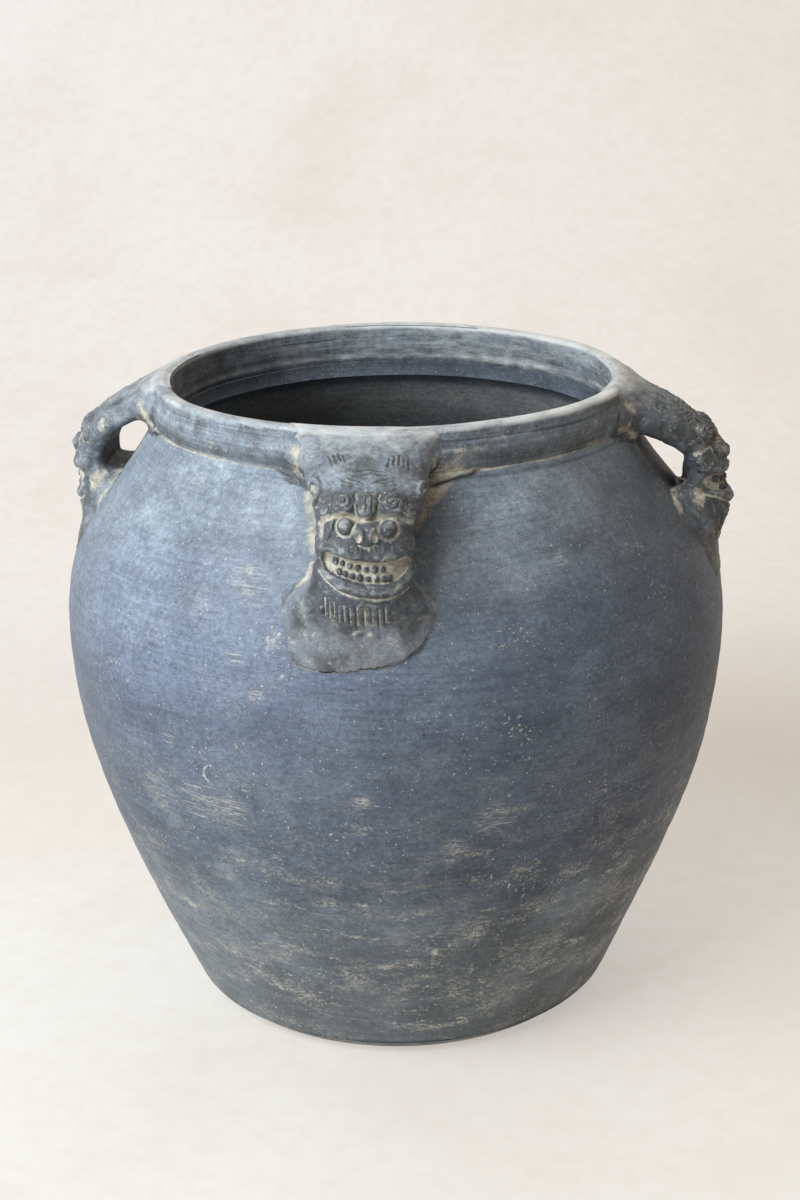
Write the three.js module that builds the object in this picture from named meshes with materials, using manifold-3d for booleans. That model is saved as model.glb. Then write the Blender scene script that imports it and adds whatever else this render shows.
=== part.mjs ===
// A smoked clay jar for planting, with four strap handles that carry pressed guardian masks.
// Millimetres, +Z up, the origin at the centre of the underside. The front handle faces -Y.

import * as THREE from "three";
import { mergeVertices } from "three/addons/utils/BufferGeometryUtils.js";
import Module from "manifold-3d";

// Driving dimensions of the body, foot to lip

const FOOT_RADIUS = 131; // flat underside, inside its bevelled edge
const SPRING_RADIUS = 136.4; // where the wall's outline would reach the ground
const BELLY_RADIUS = 210;
const BELLY_HEIGHT = 249;
const SHOULDER_HEIGHT = 130.5; // belly up to the neck groove
const NECK_RADIUS = 148.1;
const COLLAR_HEIGHT = 25.3; // neck groove up to the top of the lip
const COLLAR_BULGE = 2.2;
const WALL = 11; // measured square to the wall
const LIP_THICKNESS = 10.8;
const LIP_HEIGHT = 8;
const LIP_ROUNDING = 3.2;
const BASE_EDGE = 9; // the base disc under the wall
const FLOOR_HEIGHT = 13; // the base disc inside the wall
const DRAIN_RADIUS = 10;
const SEAM_HEIGHT = 188; // where the upper wall was added to the lower one
const JOINT_GAP = 0.3; // slip joint between two pieces of clay

// How full the outline runs between its fixed points, as shares of the span it bridges

const LOWER_FLARE = { out: 0.795, up: 0.528 };
const LOWER_FULLNESS = 0.231;
const UPPER_FULLNESS = 0.543;
const NECK_FLARE = { out: 0.513, down: 0.43 };

// Driving dimensions of a handle; distances down are measured from the top of the lip

const STRAP_TOP_DROP = 1.5;
const SHELF_OUT = 11; // the strap leaves the lip almost level
const SHELF_DOWN = 6.5;
const SLOPE_OUT = 35; // and then slopes to its knuckle
const SLOPE_DOWN = 22;
const KNUCKLE_OUT = 49.5;
const KNUCKLE_DOWN = 41;
const GAP_DOWN = 57; // the level of the hand gap
const HANDLE_GAP = 16; // clear of the shoulder at that level
const STRAP_THICKNESS = 15;
const PAD_DOWN = 85; // where the strap lies on the shoulder
const PAD_THICKNESS = 12.5;
const PAD_END_DOWN = 119;
const PAD_EDGE = 1.5; // the pad thins out to a ragged edge
const ROOT_WIDTH = 75;
const WAIST_WIDTH = 55;
const PAD_WIDTH = 82;
const PAD_ROUNDING = 27; // how much of the pad's length its round end takes
const END_FULLNESS = 2.6; // 2 is an ellipse, more is squarer
const END_REACH = 0.93; // below 1, so that every end stays blunt
const FILLET_RADIUS = 8; // luting clay in the corners of the hand gap

// Driving dimensions of a mask; distances down are measured along the strap from the lip

const MASK_TOP = 20;
const MASK_LENGTH = 97;
const MASK_INSET = 0.8; // inside the strap's edges
const CHIN_WIDTH = 44;
const FOREHEAD_RELIEF = 3;
const JAW_RELIEF = 9;
const CHEEK_FALL = 0.5; // share of its relief that the face loses towards its sides
const EAR = { across: 29, down: 42, radius: 5.2, thickness: 2.3 };
const CURL = { across: 11.5, down: 50, radius: 4.4, thickness: 2.3 };
const TEMPLE_CURL = { across: 22.5, down: 52.5, radius: 3.8 };
const BROW_LOBE = { down: 51, width: 12, height: 13, relief: 3.4 };
const EYE = { across: 12, down: 63, radius: 4.5, socket: 6.8 };
const NOSE = { down: 65.5, width: 15, height: 12, relief: 5 };
const NOSTRIL = { across: 4.2, down: 68.5, radius: 1.5, wing: 3.6 };
const MOUTH = { down: 84.5, width: 50, height: 15, depth: 3.8, smile: 4 };
const LIP = { radius: 2.7 };
const TOOTH = { radius: 1.9, pitch: 4.2, rowPitch: 5.6, perRow: 7 };

// Faceting

const RING_SEGMENTS = 36; // a multiple of four, so that the body repeats under each handle
const SHOULDER_SPANS = 10;
const COLLAR_SPANS = 3;
const HANDLES = ["front", "right", "back", "left"];

// Values that follow from them

const neckHeight = BELLY_HEIGHT + SHOULDER_HEIGHT;
const rimHeight = neckHeight + COLLAR_HEIGHT;
const lipBottom = rimHeight - LIP_HEIGHT;
const mouthRadius = NECK_RADIUS - WALL;
const rimRadius = mouthRadius + LIP_THICKNESS;
const maskBottom = MASK_TOP + MASK_LENGTH;

const wasm = await Module();
wasm.setup();

const { clamp, lerp, smoothstep } = THREE.MathUtils;
const point = (r, z) => new THREE.Vector2(r, z);

// Solids from closed geometries, and back

function toSolid(geometry) {
  const bare = geometry.clone();
  bare.deleteAttribute("normal");
  bare.deleteAttribute("uv");
  const merged = mergeVertices(bare, 1e-4);
  const corners = merged.index.array;
  const triangles = [];
  for (let i = 0; i < corners.length; i += 3) {
    const [a, b, c] = corners.slice(i, i + 3);
    if (a !== b && b !== c && c !== a) triangles.push(a, b, c);
  }
  return new wasm.Manifold(new wasm.Mesh({
    numProp: 3,
    vertProperties: merged.attributes.position.array,
    triVerts: Uint32Array.from(triangles),
  }));
}

function toGeometry(solid) {
  const mesh = solid.getMesh();
  const geometry = new THREE.BufferGeometry();
  geometry.setAttribute("position", new THREE.BufferAttribute(mesh.vertProperties, 3));
  geometry.setIndex(new THREE.BufferAttribute(mesh.triVerts, 1));
  geometry.computeVertexNormals();
  return geometry;
}

function moveVertices(geometry, place) {
  const positions = geometry.attributes.position;
  const spot = new THREE.Vector3();
  for (let i = 0; i < positions.count; i += 1) {
    spot.copy(place(spot.fromBufferAttribute(positions, i)));
    positions.setXYZ(i, spot.x, spot.y, spot.z);
  }
  return geometry;
}

// The outline of the body: two curves that meet upright at the belly

const lowerOutline = new THREE.CubicBezierCurve(
  point(SPRING_RADIUS, 0),
  point(lerp(SPRING_RADIUS, BELLY_RADIUS, LOWER_FLARE.out), BELLY_HEIGHT * LOWER_FLARE.up),
  point(BELLY_RADIUS, BELLY_HEIGHT * (1 - LOWER_FULLNESS)),
  point(BELLY_RADIUS, BELLY_HEIGHT),
);
const upperOutline = new THREE.CubicBezierCurve(
  point(BELLY_RADIUS, BELLY_HEIGHT),
  point(BELLY_RADIUS, BELLY_HEIGHT + SHOULDER_HEIGHT * UPPER_FULLNESS),
  point(lerp(NECK_RADIUS, BELLY_RADIUS, NECK_FLARE.out), neckHeight - SHOULDER_HEIGHT * NECK_FLARE.down),
  point(NECK_RADIUS, neckHeight),
);

function outerRadius(z) {
  const outline = z < BELLY_HEIGHT ? lowerOutline : upperOutline;
  let low = 0;
  let high = 1;
  for (let halving = 0; halving < 40; halving += 1) {
    const middle = (low + high) / 2;
    if (outline.getPoint(middle).y < z) low = middle;
    else high = middle;
  }
  return outline.getPoint(low).x;
}

function innerRadius(z) {
  const step = 0.5;
  const slope = (outerRadius(z + step) - outerRadius(z - step)) / (2 * step);
  return outerRadius(z) - WALL * Math.hypot(1, slope);
}

function samples(from, to, spans, radiusAt) {
  const points = [];
  for (let i = 0; i <= spans; i += 1) {
    const z = lerp(from, to, i / spans);
    points.push(point(radiusAt(z), z));
  }
  return points;
}

function collarOutline(spans) {
  const belly = point(Math.max(NECK_RADIUS, rimRadius) + 2 * COLLAR_BULGE, (neckHeight + lipBottom) / 2);
  const foot = point(NECK_RADIUS, neckHeight + JOINT_GAP);
  const top = point(rimRadius, lipBottom - JOINT_GAP);
  return new THREE.QuadraticBezierCurve(foot, belly, top).getPoints(spans);
}

function lipOutline() {
  const quarter = (r, start) => new THREE.EllipseCurve(
    r, rimHeight - LIP_ROUNDING, LIP_ROUNDING, LIP_ROUNDING, start, start + Math.PI / 2,
  ).getPoints(2);
  return [
    point(rimRadius, lipBottom),
    ...quarter(rimRadius - LIP_ROUNDING, 0),
    ...quarter(mouthRadius + LIP_ROUNDING, Math.PI / 2),
    point(mouthRadius, lipBottom),
  ];
}

// Rings turned about the pot's axis from a closed profile

function turned(profile) {
  const closed = [...profile, profile[0]];
  return toSolid(new THREE.LatheGeometry(closed, RING_SEGMENTS).rotateX(Math.PI / 2));
}

function baseDisc() {
  const edge = outerRadius(BASE_EDGE);
  const seat = innerRadius(BASE_EDGE) - JOINT_GAP;
  return turned([
    point(DRAIN_RADIUS, 0),
    point(FOOT_RADIUS, 0),
    point(edge, BASE_EDGE),
    point(seat, BASE_EDGE),
    point(seat - 1, FLOOR_HEIGHT),
    point(DRAIN_RADIUS, FLOOR_HEIGHT),
  ]);
}

function lowerWall() {
  const foot = BASE_EDGE + JOINT_GAP;
  return turned([
    ...samples(foot, SEAM_HEIGHT, 5, outerRadius),
    ...samples(SEAM_HEIGHT, foot, 4, innerRadius),
  ]);
}

function upperWall() {
  const foot = SEAM_HEIGHT + JOINT_GAP;
  return turned([
    ...samples(foot, neckHeight, SHOULDER_SPANS, outerRadius),
    ...samples(neckHeight, foot, 5, innerRadius),
  ]);
}

function collar() {
  return turned([
    ...collarOutline(COLLAR_SPANS),
    point(mouthRadius, lipBottom - JOINT_GAP),
    point(mouthRadius, neckHeight + JOINT_GAP),
  ]);
}

// The whole body filled to its axis and grown by a joint gap, which trims what is luted onto it

function bodyTrim() {
  const grown = ({ x, y }) => point(x + JOINT_GAP, y);
  const above = rimHeight * 2;
  const side = [
    ...samples(SEAM_HEIGHT + JOINT_GAP, neckHeight, SHOULDER_SPANS, outerRadius),
    ...collarOutline(COLLAR_SPANS),
    point(rimRadius, lipBottom),
    point(rimRadius, above),
  ].map(grown);
  const foot = point(0, SEAM_HEIGHT + JOINT_GAP);
  const profile = [foot, ...side, point(0, above), foot];
  return toSolid(new THREE.LatheGeometry(profile, RING_SEGMENTS).rotateX(Math.PI / 2));
}

// The strap's outer face, drawn as one curve down from the lip in the plane of the handle's middle

const besideWall = (down, standoff) => point(outerRadius(rimHeight - down) + standoff, rimHeight - down);
const strapFace = new THREE.SplineCurve([
  point(rimRadius - 1, rimHeight - STRAP_TOP_DROP),
  point(rimRadius + SHELF_OUT, rimHeight - SHELF_DOWN),
  point(rimRadius + SLOPE_OUT, rimHeight - SLOPE_DOWN),
  point(rimRadius + KNUCKLE_OUT, rimHeight - KNUCKLE_DOWN),
  besideWall(GAP_DOWN, HANDLE_GAP + STRAP_THICKNESS),
  besideWall(PAD_DOWN, PAD_THICKNESS),
  besideWall(PAD_END_DOWN, PAD_EDGE),
]);
const strapLength = strapFace.getLength();

function alongStrapTo(drop) {
  let low = 0;
  let high = 1;
  for (let halving = 0; halving < 20; halving += 1) {
    const middle = (low + high) / 2;
    if (strapFace.getPointAt(middle).y > rimHeight - drop) low = middle;
    else high = middle;
  }
  return low * strapLength;
}

// Bends a flat form onto the strap: x across it, y up it from the lip, z out of its face

function bent(geometry) {
  return moveVertices(geometry, ({ x, y, z }) => {
    const along = clamp(-y / strapLength, 0, 1);
    const foot = strapFace.getPointAt(along);
    const run = strapFace.getTangentAt(along);
    const r = foot.x - run.y * z;
    const turn = x / foot.x;
    return new THREE.Vector3(r * Math.sin(turn), -r * Math.cos(turn), foot.y + run.x * z);
  });
}

// A bar with softly squared section, drawn down the strap by functions of the distance down

function bar({ from, to, halfWidth, outer, inner, squareness, sides, steps }) {
  const soften = (value) => Math.sign(value) * Math.abs(value) ** (2 / squareness);
  const round = new THREE.CylinderGeometry(1, 1, 1, sides, steps);
  return moveVertices(round, ({ x, y, z }) => {
    const down = lerp(to, from, y + 0.5);
    const middle = (outer(down) + inner(down)) / 2;
    const half = (outer(down) - inner(down)) / 2;
    return new THREE.Vector3(soften(x) * halfWidth(down), -down, middle + soften(z) * half);
  });
}

const roundEnd = (share) => (1 - clamp(share, 0, END_REACH) ** END_FULLNESS) ** (1 / END_FULLNESS);

function strapHalfWidth(down) {
  const waisted = lerp(ROOT_WIDTH, WAIST_WIDTH, smoothstep(down, MASK_TOP, MOUTH.down - MOUTH.height / 2));
  const padded = (PAD_WIDTH - WAIST_WIDTH) * smoothstep(down, MOUTH.down + MOUTH.height / 2, maskBottom + 4);
  return ((waisted + padded) / 2) * roundEnd((down - strapLength + PAD_ROUNDING) / PAD_ROUNDING);
}

function strapThickness(down) {
  const gapLevel = alongStrapTo(GAP_DOWN);
  const joined = gapLevel + STRAP_THICKNESS * 0.75;
  return STRAP_THICKNESS + PAD_THICKNESS * smoothstep(down, gapLevel - 5, joined);
}

function strap(growth) {
  return toSolid(bent(bar({
    from: -growth,
    to: strapLength + growth,
    halfWidth: (down) => strapHalfWidth(down) + growth,
    outer: () => growth,
    inner: (down) => -strapThickness(down) - growth,
    squareness: 3.2,
    sides: 10,
    steps: 14,
  })));
}

// Where the strap's inner face crosses the wall, at either end of the hand gap

function gapCorner(buried, open) {
  let inside = buried;
  let outside = open;
  let corner = new THREE.Vector2();
  for (let halving = 0; halving < 20; halving += 1) {
    const middle = (inside + outside) / 2;
    const run = strapFace.getTangentAt(middle / strapLength);
    const inward = point(run.y, -run.x).multiplyScalar(strapThickness(middle));
    corner = strapFace.getPointAt(middle / strapLength).add(inward);
    const wall = corner.y < neckHeight ? outerRadius(corner.y) : NECK_RADIUS + COLLAR_BULGE;
    if (corner.x < wall) inside = middle;
    else outside = middle;
  }
  return corner;
}

// Luting clay pressed into a corner of the hand gap

function fillet(corner, halfLength) {
  const wad = new THREE.SphereGeometry(1, 6, 5);
  return toSolid(moveVertices(wad, ({ x, y, z }) => {
    const r = corner.x + FILLET_RADIUS * z;
    const turn = (halfLength * x) / corner.x;
    return new THREE.Vector3(r * Math.sin(turn), -r * Math.cos(turn), corner.y + FILLET_RADIUS * y);
  }));
}

// The mask: one pressed slab with everything that stands up from it or is sunk into it

function relief(down) {
  const jaw = (JAW_RELIEF - FOREHEAD_RELIEF) * smoothstep(down, EAR.down, MOUTH.down);
  const beard = (JAW_RELIEF - 1.2) * smoothstep(down, MOUTH.down + MOUTH.height, maskBottom);
  return FOREHEAD_RELIEF + jaw - beard;
}

function maskHalfWidth(down) {
  const fromChin = smoothstep(down, MOUTH.down + MOUTH.height / 2, maskBottom);
  const cheek = lerp(strapHalfWidth(Math.min(down, MOUTH.down)) - MASK_INSET, CHIN_WIDTH / 2, fromChin);
  const topRounding = 9;
  const bottomRounding = 12;
  const top = roundEnd((MASK_TOP + topRounding - down) / topRounding);
  return cheek * top * roundEnd((down - maskBottom + bottomRounding) / bottomRounding);
}

function rounded(geometry) {
  return moveVertices(geometry, ({ x, y, z }) => {
    const fall = CHEEK_FALL * smoothstep(Math.abs(x), WAIST_WIDTH / 5, WAIST_WIDTH / 2);
    return new THREE.Vector3(x, y, z > 0 ? z * (1 - fall) : z);
  });
}

const onFace = (geometry, across, down, lift) => toSolid(bent(rounded(
  geometry.translate(across, -down, relief(down) + lift),
)));

function lump(across, down, width, height, thickness, lift = 0, detail = [6, 4]) {
  const ball = new THREE.SphereGeometry(0.5, ...detail).scale(width, height, thickness);
  return onFace(ball, across, down, lift);
}

function ring(across, down, radius, thickness, stretch = 1, lift = 0) {
  const torus = new THREE.TorusGeometry(radius, thickness, 4, 7).scale(1, stretch, 1);
  return onFace(torus, across, down, lift);
}

// A roll or a slot that runs across the face and turns up at its ends as the mouth does

function crescent({ down, width, height, thickness, lift = 0, sides = 5, steps = 6, girth = () => 1 }) {
  const rod = new THREE.CylinderGeometry(0.5, 0.5, 1, sides, steps).rotateZ(Math.PI / 2);
  const smile = MOUTH.smile * (width / MOUTH.width) ** 2;
  const curved = moveVertices(rod, ({ x, y, z }) => {
    const taper = roundEnd((2 * x) ** 2) * girth(x);
    return new THREE.Vector3(x * width, y * height * taper + smile * (2 * x) ** 2, z * thickness * girth(x));
  });
  return onFace(curved, 0, down, lift);
}

// A row of pellet teeth in the floor of the mouth

function toothRow(row) {
  const pinched = (x) => lerp(1, 0.55, Math.cos(2 * Math.PI * TOOTH.perRow * (x + 0.5)) / 2 + 0.5);
  return crescent({
    down: MOUTH.down + row * TOOTH.rowPitch,
    width: TOOTH.perRow * TOOTH.pitch,
    height: 2.2 * TOOTH.radius,
    thickness: 3 * TOOTH.radius,
    lift: -MOUTH.depth,
    sides: 4,
    steps: 2 * TOOTH.perRow,
    girth: pinched,
  });
}

function mask(strapTrim) {
  const slab = toSolid(bent(rounded(bar({
    from: MASK_TOP,
    to: maskBottom,
    halfWidth: maskHalfWidth,
    outer: relief,
    inner: () => -STRAP_THICKNESS / 3,
    squareness: 4,
    sides: 8,
    steps: 9,
  }))));
  const both = (part, make) => [make(-part.across, part), make(part.across, part)];
  const raised = [
    ...both(EAR, (x, part) => ring(x, part.down, part.radius, part.thickness, 1.4)),
    ...both(CURL, (x, part) => ring(x, part.down, part.radius, part.thickness)),
    ...both(TEMPLE_CURL, (x, part) => lump(x, part.down, 2 * part.radius, 2 * part.radius, part.radius, 0.6)),
    lump(0, BROW_LOBE.down, BROW_LOBE.width, BROW_LOBE.height, 2 * BROW_LOBE.relief),
    lump(0, NOSE.down, NOSE.width, NOSE.height, 2 * NOSE.relief),
    ...both(NOSTRIL, (x, part) => lump(1.4 * x, part.down - 1, 2 * part.wing, 2 * part.wing, 2 * part.wing)),
    crescent({
      down: MOUTH.down - MOUTH.height / 2 - LIP.radius,
      width: MOUTH.width,
      height: 2.4 * LIP.radius,
      thickness: 1.5 * LIP.radius,
    }),
    crescent({
      down: MOUTH.down + MOUTH.height / 2 + LIP.radius,
      width: MOUTH.width * 0.95,
      height: 2 * LIP.radius,
      thickness: 2 * LIP.radius,
    }),
  ];
  const sunk = [
    ...both(EYE, (x, part) => lump(x, part.down, 2 * part.socket, 2 * part.socket, part.socket / 2)),
    crescent({ ...MOUTH, thickness: 2 * MOUTH.depth, sides: 8 }),
  ];
  const added = [
    ...both(EYE, (x, part) => lump(x, part.down, 2 * part.radius, 2 * part.radius, 2 * part.radius, 0, [8, 5])),
    toothRow(-0.5),
    toothRow(0.5),
  ];
  let face = raised.reduce((whole, form) => whole.add(form), slab);
  face = sunk.reduce((whole, form) => whole.subtract(form), face);
  face = added.reduce((whole, form) => whole.add(form), face);
  return face.subtract(strapTrim);
}

// Materials: one clay, a little darker where it was pressed or luted

const clay = (color) => new THREE.MeshStandardMaterial({ color, roughness: 0.72, metalness: 0 });

function named(name, solid, color) {
  const mesh = new THREE.Mesh(toGeometry(solid), clay(color));
  mesh.name = name;
  return mesh;
}

// Assembly

const pot = new THREE.Group();
pot.add(
  named("base_disc", baseDisc(), 0x4d525a),
  named("lower_wall", lowerWall(), 0x545b66),
  named("upper_wall", upperWall(), 0x5b6470),
  named("collar", collar(), 0x5f6872),
  named("lip_band", turned(lipOutline()), 0x7c8489),
);

const trim = bodyTrim();
const strapTrim = strap(JOINT_GAP);
const strapPiece = strap(0).subtract(trim);
const maskPiece = mask(strapTrim).subtract(trim);
const gapMiddle = alongStrapTo(GAP_DOWN);
const rootCorner = gapCorner(0, gapMiddle);
const padCorner = gapCorner(alongStrapTo(PAD_DOWN), gapMiddle);
const upperFillet = fillet(rootCorner, WAIST_WIDTH / 2).subtract(trim).subtract(strapTrim);
const lowerFillet = fillet(padCorner, WAIST_WIDTH / 2 - 3).subtract(trim).subtract(strapTrim);

HANDLES.forEach((side, quarter) => {
  const handle = new THREE.Group();
  handle.rotation.z = (quarter * Math.PI) / 2;
  handle.add(
    named(`handle_${side}`, strapPiece, 0x59626d),
    named(`mask_${side}`, maskPiece, 0x666e76),
    named(`upper_fillet_${side}`, upperFillet, 0x7a7a72),
    named(`lower_fillet_${side}`, lowerFillet, 0x8a8778),
  );
  pot.add(handle);
});

export default pot;
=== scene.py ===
"""A smoked clay jar for planting, thrown and coiled in parts, with four strap handles that carry pressed masks.
Sizes are in millimetres unless a name says otherwise; the scene is in metres, with the front handle at -Y."""

import math

import bpy
import numpy as np
from mathutils import Matrix, Vector


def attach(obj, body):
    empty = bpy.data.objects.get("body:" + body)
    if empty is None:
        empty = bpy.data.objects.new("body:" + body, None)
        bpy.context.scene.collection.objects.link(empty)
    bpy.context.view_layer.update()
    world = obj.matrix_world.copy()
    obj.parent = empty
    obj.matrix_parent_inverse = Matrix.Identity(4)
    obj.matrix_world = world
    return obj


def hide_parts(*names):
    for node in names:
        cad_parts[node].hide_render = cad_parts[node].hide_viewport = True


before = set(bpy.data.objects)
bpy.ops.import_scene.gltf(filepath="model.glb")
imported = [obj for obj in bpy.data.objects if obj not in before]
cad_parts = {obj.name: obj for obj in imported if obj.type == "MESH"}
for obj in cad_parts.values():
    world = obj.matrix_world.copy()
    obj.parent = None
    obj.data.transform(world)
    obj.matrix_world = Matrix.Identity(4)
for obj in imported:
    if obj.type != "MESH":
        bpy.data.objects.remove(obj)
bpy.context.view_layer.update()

# ---------------------------------------------------------------------------------------------------------------
# The base: a flat slab of clay that the wall stands on, with a bevelled edge and a hole for water. Everything on
# the pot is the same grey earthenware, fired once in a smoky kiln and wiped by hand, so how clay is shaped and
# what it looks like are written here.

MM = 0.001
FOOT_RADIUS = 131
SPRING_RADIUS = 136.4
BELLY_RADIUS = 210
BELLY_HEIGHT = 249
NECK_RADIUS = 148.1
NECK_HEIGHT = 379.5
RIM_HEIGHT = 404.8
WALL = 11
BASE_EDGE = 9
FLOOR_HEIGHT = 13
DRAIN_RADIUS = 10
SEGMENTS = 480


def bezier(points, count):
    """A line from the first point to the last, drawn towards the two between them."""
    a, b, c, d = (np.array(p, float) for p in points)
    t = np.linspace(0, 1, count)[:, None]
    return (1 - t) ** 3 * a + 3 * (1 - t) ** 2 * t * b + 3 * (1 - t) * t**2 * c + t**3 * d


shoulder_height = NECK_HEIGHT - BELLY_HEIGHT
lower_outline = bezier(
    [
        (SPRING_RADIUS, 0),
        (SPRING_RADIUS + 0.795 * (BELLY_RADIUS - SPRING_RADIUS), 0.528 * BELLY_HEIGHT),
        (BELLY_RADIUS, 0.769 * BELLY_HEIGHT),
        (BELLY_RADIUS, BELLY_HEIGHT),
    ],
    300,
)
upper_outline = bezier(
    [
        (BELLY_RADIUS, BELLY_HEIGHT),
        (BELLY_RADIUS, BELLY_HEIGHT + 0.543 * shoulder_height),
        (NECK_RADIUS + 0.513 * (BELLY_RADIUS - NECK_RADIUS), NECK_HEIGHT - 0.43 * shoulder_height),
        (NECK_RADIUS, NECK_HEIGHT),
    ],
    300,
)
outline = np.vstack([lower_outline, upper_outline[1:]])


def wall_radius(z):
    """The wall's outside, which stays upright above the neck."""
    return np.interp(z, outline[:, 1], outline[:, 0])


def inner_radius(z):
    """The wall's inside, a wall's thickness in from the slope outside."""
    slope = wall_radius(z + 0.5) - wall_radius(z - 0.5)
    return wall_radius(z) - WALL * np.hypot(1, slope)


def is_inside(radius, z):
    """Whether a point of the wall lies on its inside and not on its outside."""
    return radius < wall_radius(z) - 0.6 * WALL


def from_strap(around):
    """The turn from the middle of the nearest strap, as a strap stands at every quarter of the pot."""
    return (around + np.pi / 4) % (np.pi / 2) - np.pi / 4


def smooth(x, low, high):
    """Nothing up to low and one from high on, with a soft passage between."""
    t = np.clip((x - low) / (high - low), 0, 1)
    return t * t * (3 - 2 * t)


def ripple(points, seed, wavelength, waves=16):
    """Soft unevenness, about -1 to 1, over points in millimetres."""
    rng = np.random.default_rng(seed)
    directions = rng.normal(size=(waves, 3))
    directions /= np.linalg.norm(directions, axis=1)[:, None]
    lengths = wavelength * rng.uniform(0.7, 1.6, waves)
    phases = rng.uniform(0, 2 * np.pi, waves)
    turns = points.astype(np.float32) @ (directions * 2 * np.pi / lengths[:, None]).T.astype(np.float32)
    return np.sin(turns + phases.astype(np.float32)).sum(1) / math.sqrt(waves)


def hand_shaped(points):
    """Everything on the pot leans and sags a little with it, as soft clay does."""
    moved = points.copy()
    radius = np.hypot(points[:, 0], points[:, 1])
    out = points[:, :2] / np.maximum(radius, 1)[:, None]
    high = smooth(points[:, 2], 20, 120)
    moved[:, :2] += out * (0.9 * high * ripple(points * (1, 1, 0.7), 3, 210))[:, None]
    moved[:, 2] += 1.0 * smooth(points[:, 2], 300, 400) * ripple(points * (1, 1, 0), 5, 230)
    return moved


def mesh_piece(name, points, faces, material, marks, corner=38):
    """A piece that rides on the pot, from points in millimetres and faces of four corners. Its edges are soft up to
    that corner in degrees, and marks are what its shape gathers at every point."""
    mesh = bpy.data.meshes.new(name)
    mesh.vertices.add(len(points))
    mesh.vertices.foreach_set("co", (points * MM).astype(np.float32).ravel())
    mesh.loops.add(faces.size)
    mesh.loops.foreach_set("vertex_index", faces.astype(np.int32).ravel())
    mesh.polygons.add(len(faces))
    mesh.polygons.foreach_set("loop_start", np.arange(0, faces.size, faces.shape[1], dtype=np.int32))
    mesh.update(calc_edges=True)
    mesh.polygons.foreach_set("use_smooth", np.ones(len(faces), bool))
    mesh.set_sharp_from_angle(angle=math.radians(corner))
    for mark, values in marks.items():
        attribute = mesh.attributes.new(mark, "FLOAT", "POINT")
        attribute.data.foreach_set("value", np.asarray(values, np.float32))
    mesh.materials.append(material)
    piece = bpy.data.objects.new(name, mesh)
    bpy.context.scene.collection.objects.link(piece)
    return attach(piece, "root")


def fine(points, step):
    """The same line with points about a step apart, its corners kept."""
    line = [points[0]]
    for a, b in zip(points, points[1:]):
        count = max(1, int(round(math.dist(a, b) / step)))
        line += [tuple(np.array(a) + (np.array(b) - np.array(a)) * i / count) for i in range(1, count + 1)]
    return np.array(line, float)


def unsmoked_and_shade_marks(points, radius, height, around):
    """How far the smoke missed a place, as it did the inside, and how dark the rest is made: darker inside the neck,
    with painted shade in the collar's hollow and under the straps, and a painted shadow of the front handle on the
    wall to its right."""
    hidden = is_inside(radius, height)
    missed = hidden * (height > FLOOR_HEIGHT - 5) * (1 - smooth(height, 358, 366))
    # Darker inside the neck
    in_neck = 0.5 * hidden * smooth(height, 358, 366) * (1 - smooth(height, 384, 394))
    # Painted shadow of the front handle on the wall to its right, reaching up the collar
    painted_strap_shadow = smooth(around, 0.16, 0.22) * (1 - smooth(around, 0.32, 0.52 + 0.3 * (height > 376)))
    painted_strap_shadow = 0.34 * painted_strap_shadow * smooth(height, 285, 315) * (1 - smooth(height, 393, 400))
    off_middle = np.abs(from_strap(around)) * radius
    # Painted shade on the wall under every strap
    under_strap = (1 - smooth(off_middle, 15, 25)) * smooth(height, 322, 335) * (1 - smooth(height, 384, 392))
    # Painted shade in the collar's hollow, in patches
    in_hollow = smooth(height, 380.3, 382) * (1 - smooth(height, 385.5, 390))
    in_hollow = in_hollow * (0.5 + 0.2 * ripple(points * (1, 1, 0.3), 36, 28))
    return missed, in_neck + ~hidden * np.max([painted_strap_shadow, under_strap, in_hollow], 0)


def turned(name, profile, material, throwing, marks):
    """A ring turned from a closed profile of (radius, height), which runs up its outside and down its inside."""
    if np.allclose(profile[0], profile[-1]):
        profile = profile[:-1]
    count = len(profile)
    angle = np.arange(SEGMENTS) * 2 * np.pi / SEGMENTS
    radius, height = (np.broadcast_to(profile[:, k], (SEGMENTS, count)).ravel() for k in (0, 1))
    around = np.repeat(angle, count)
    points = np.stack([radius * np.sin(around), -radius * np.cos(around), height], 1)
    grow = throwing(points, radius, height)
    points[:, 0] += grow * np.sin(around)
    points[:, 1] -= grow * np.cos(around)
    here = np.arange(SEGMENTS)[:, None] * count + np.arange(count)[None]
    along = np.roll(here, -1, axis=1)
    beside, across = np.roll(here, -1, axis=0), np.roll(along, -1, axis=0)
    faces = np.stack([here, beside, across, along], -1).reshape(-1, 4)
    made = {mark: value(points, radius, height, around) for mark, value in marks.items()}
    made["inside"], made["soot_and_shade"] = unsmoked_and_shade_marks(points, radius, height, around)
    return mesh_piece(name, hand_shaped(points), faces, material, made)


def linear(code):
    """A colour written as sRGB hex, turned to the linear values that Blender works in."""
    parts = [int(code[i : i + 2], 16) / 255 for i in (1, 3, 5)]
    return tuple(c / 12.92 if c <= 0.04045 else ((c + 0.055) / 1.055) ** 2.4 for c in parts) + (1.0,)


def add(tree, kind, *inputs, out=0, **settings):
    """An output of a new shader node that has these settings, with values or links on its first sockets, or on the
    sockets that a dictionary names."""
    made = tree.nodes.new("ShaderNode" + kind)
    for name, value in settings.items():
        setattr(made, name, value)
    named = bool(inputs) and isinstance(inputs[0], dict)
    given = inputs[0] if named else dict(enumerate(inputs))
    for socket, value in given.items():
        if isinstance(value, bpy.types.NodeSocket):
            tree.links.new(value, made.inputs[socket])
        else:
            made.inputs[socket].default_value = value
    return made.outputs[out] if made.outputs else None


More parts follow.
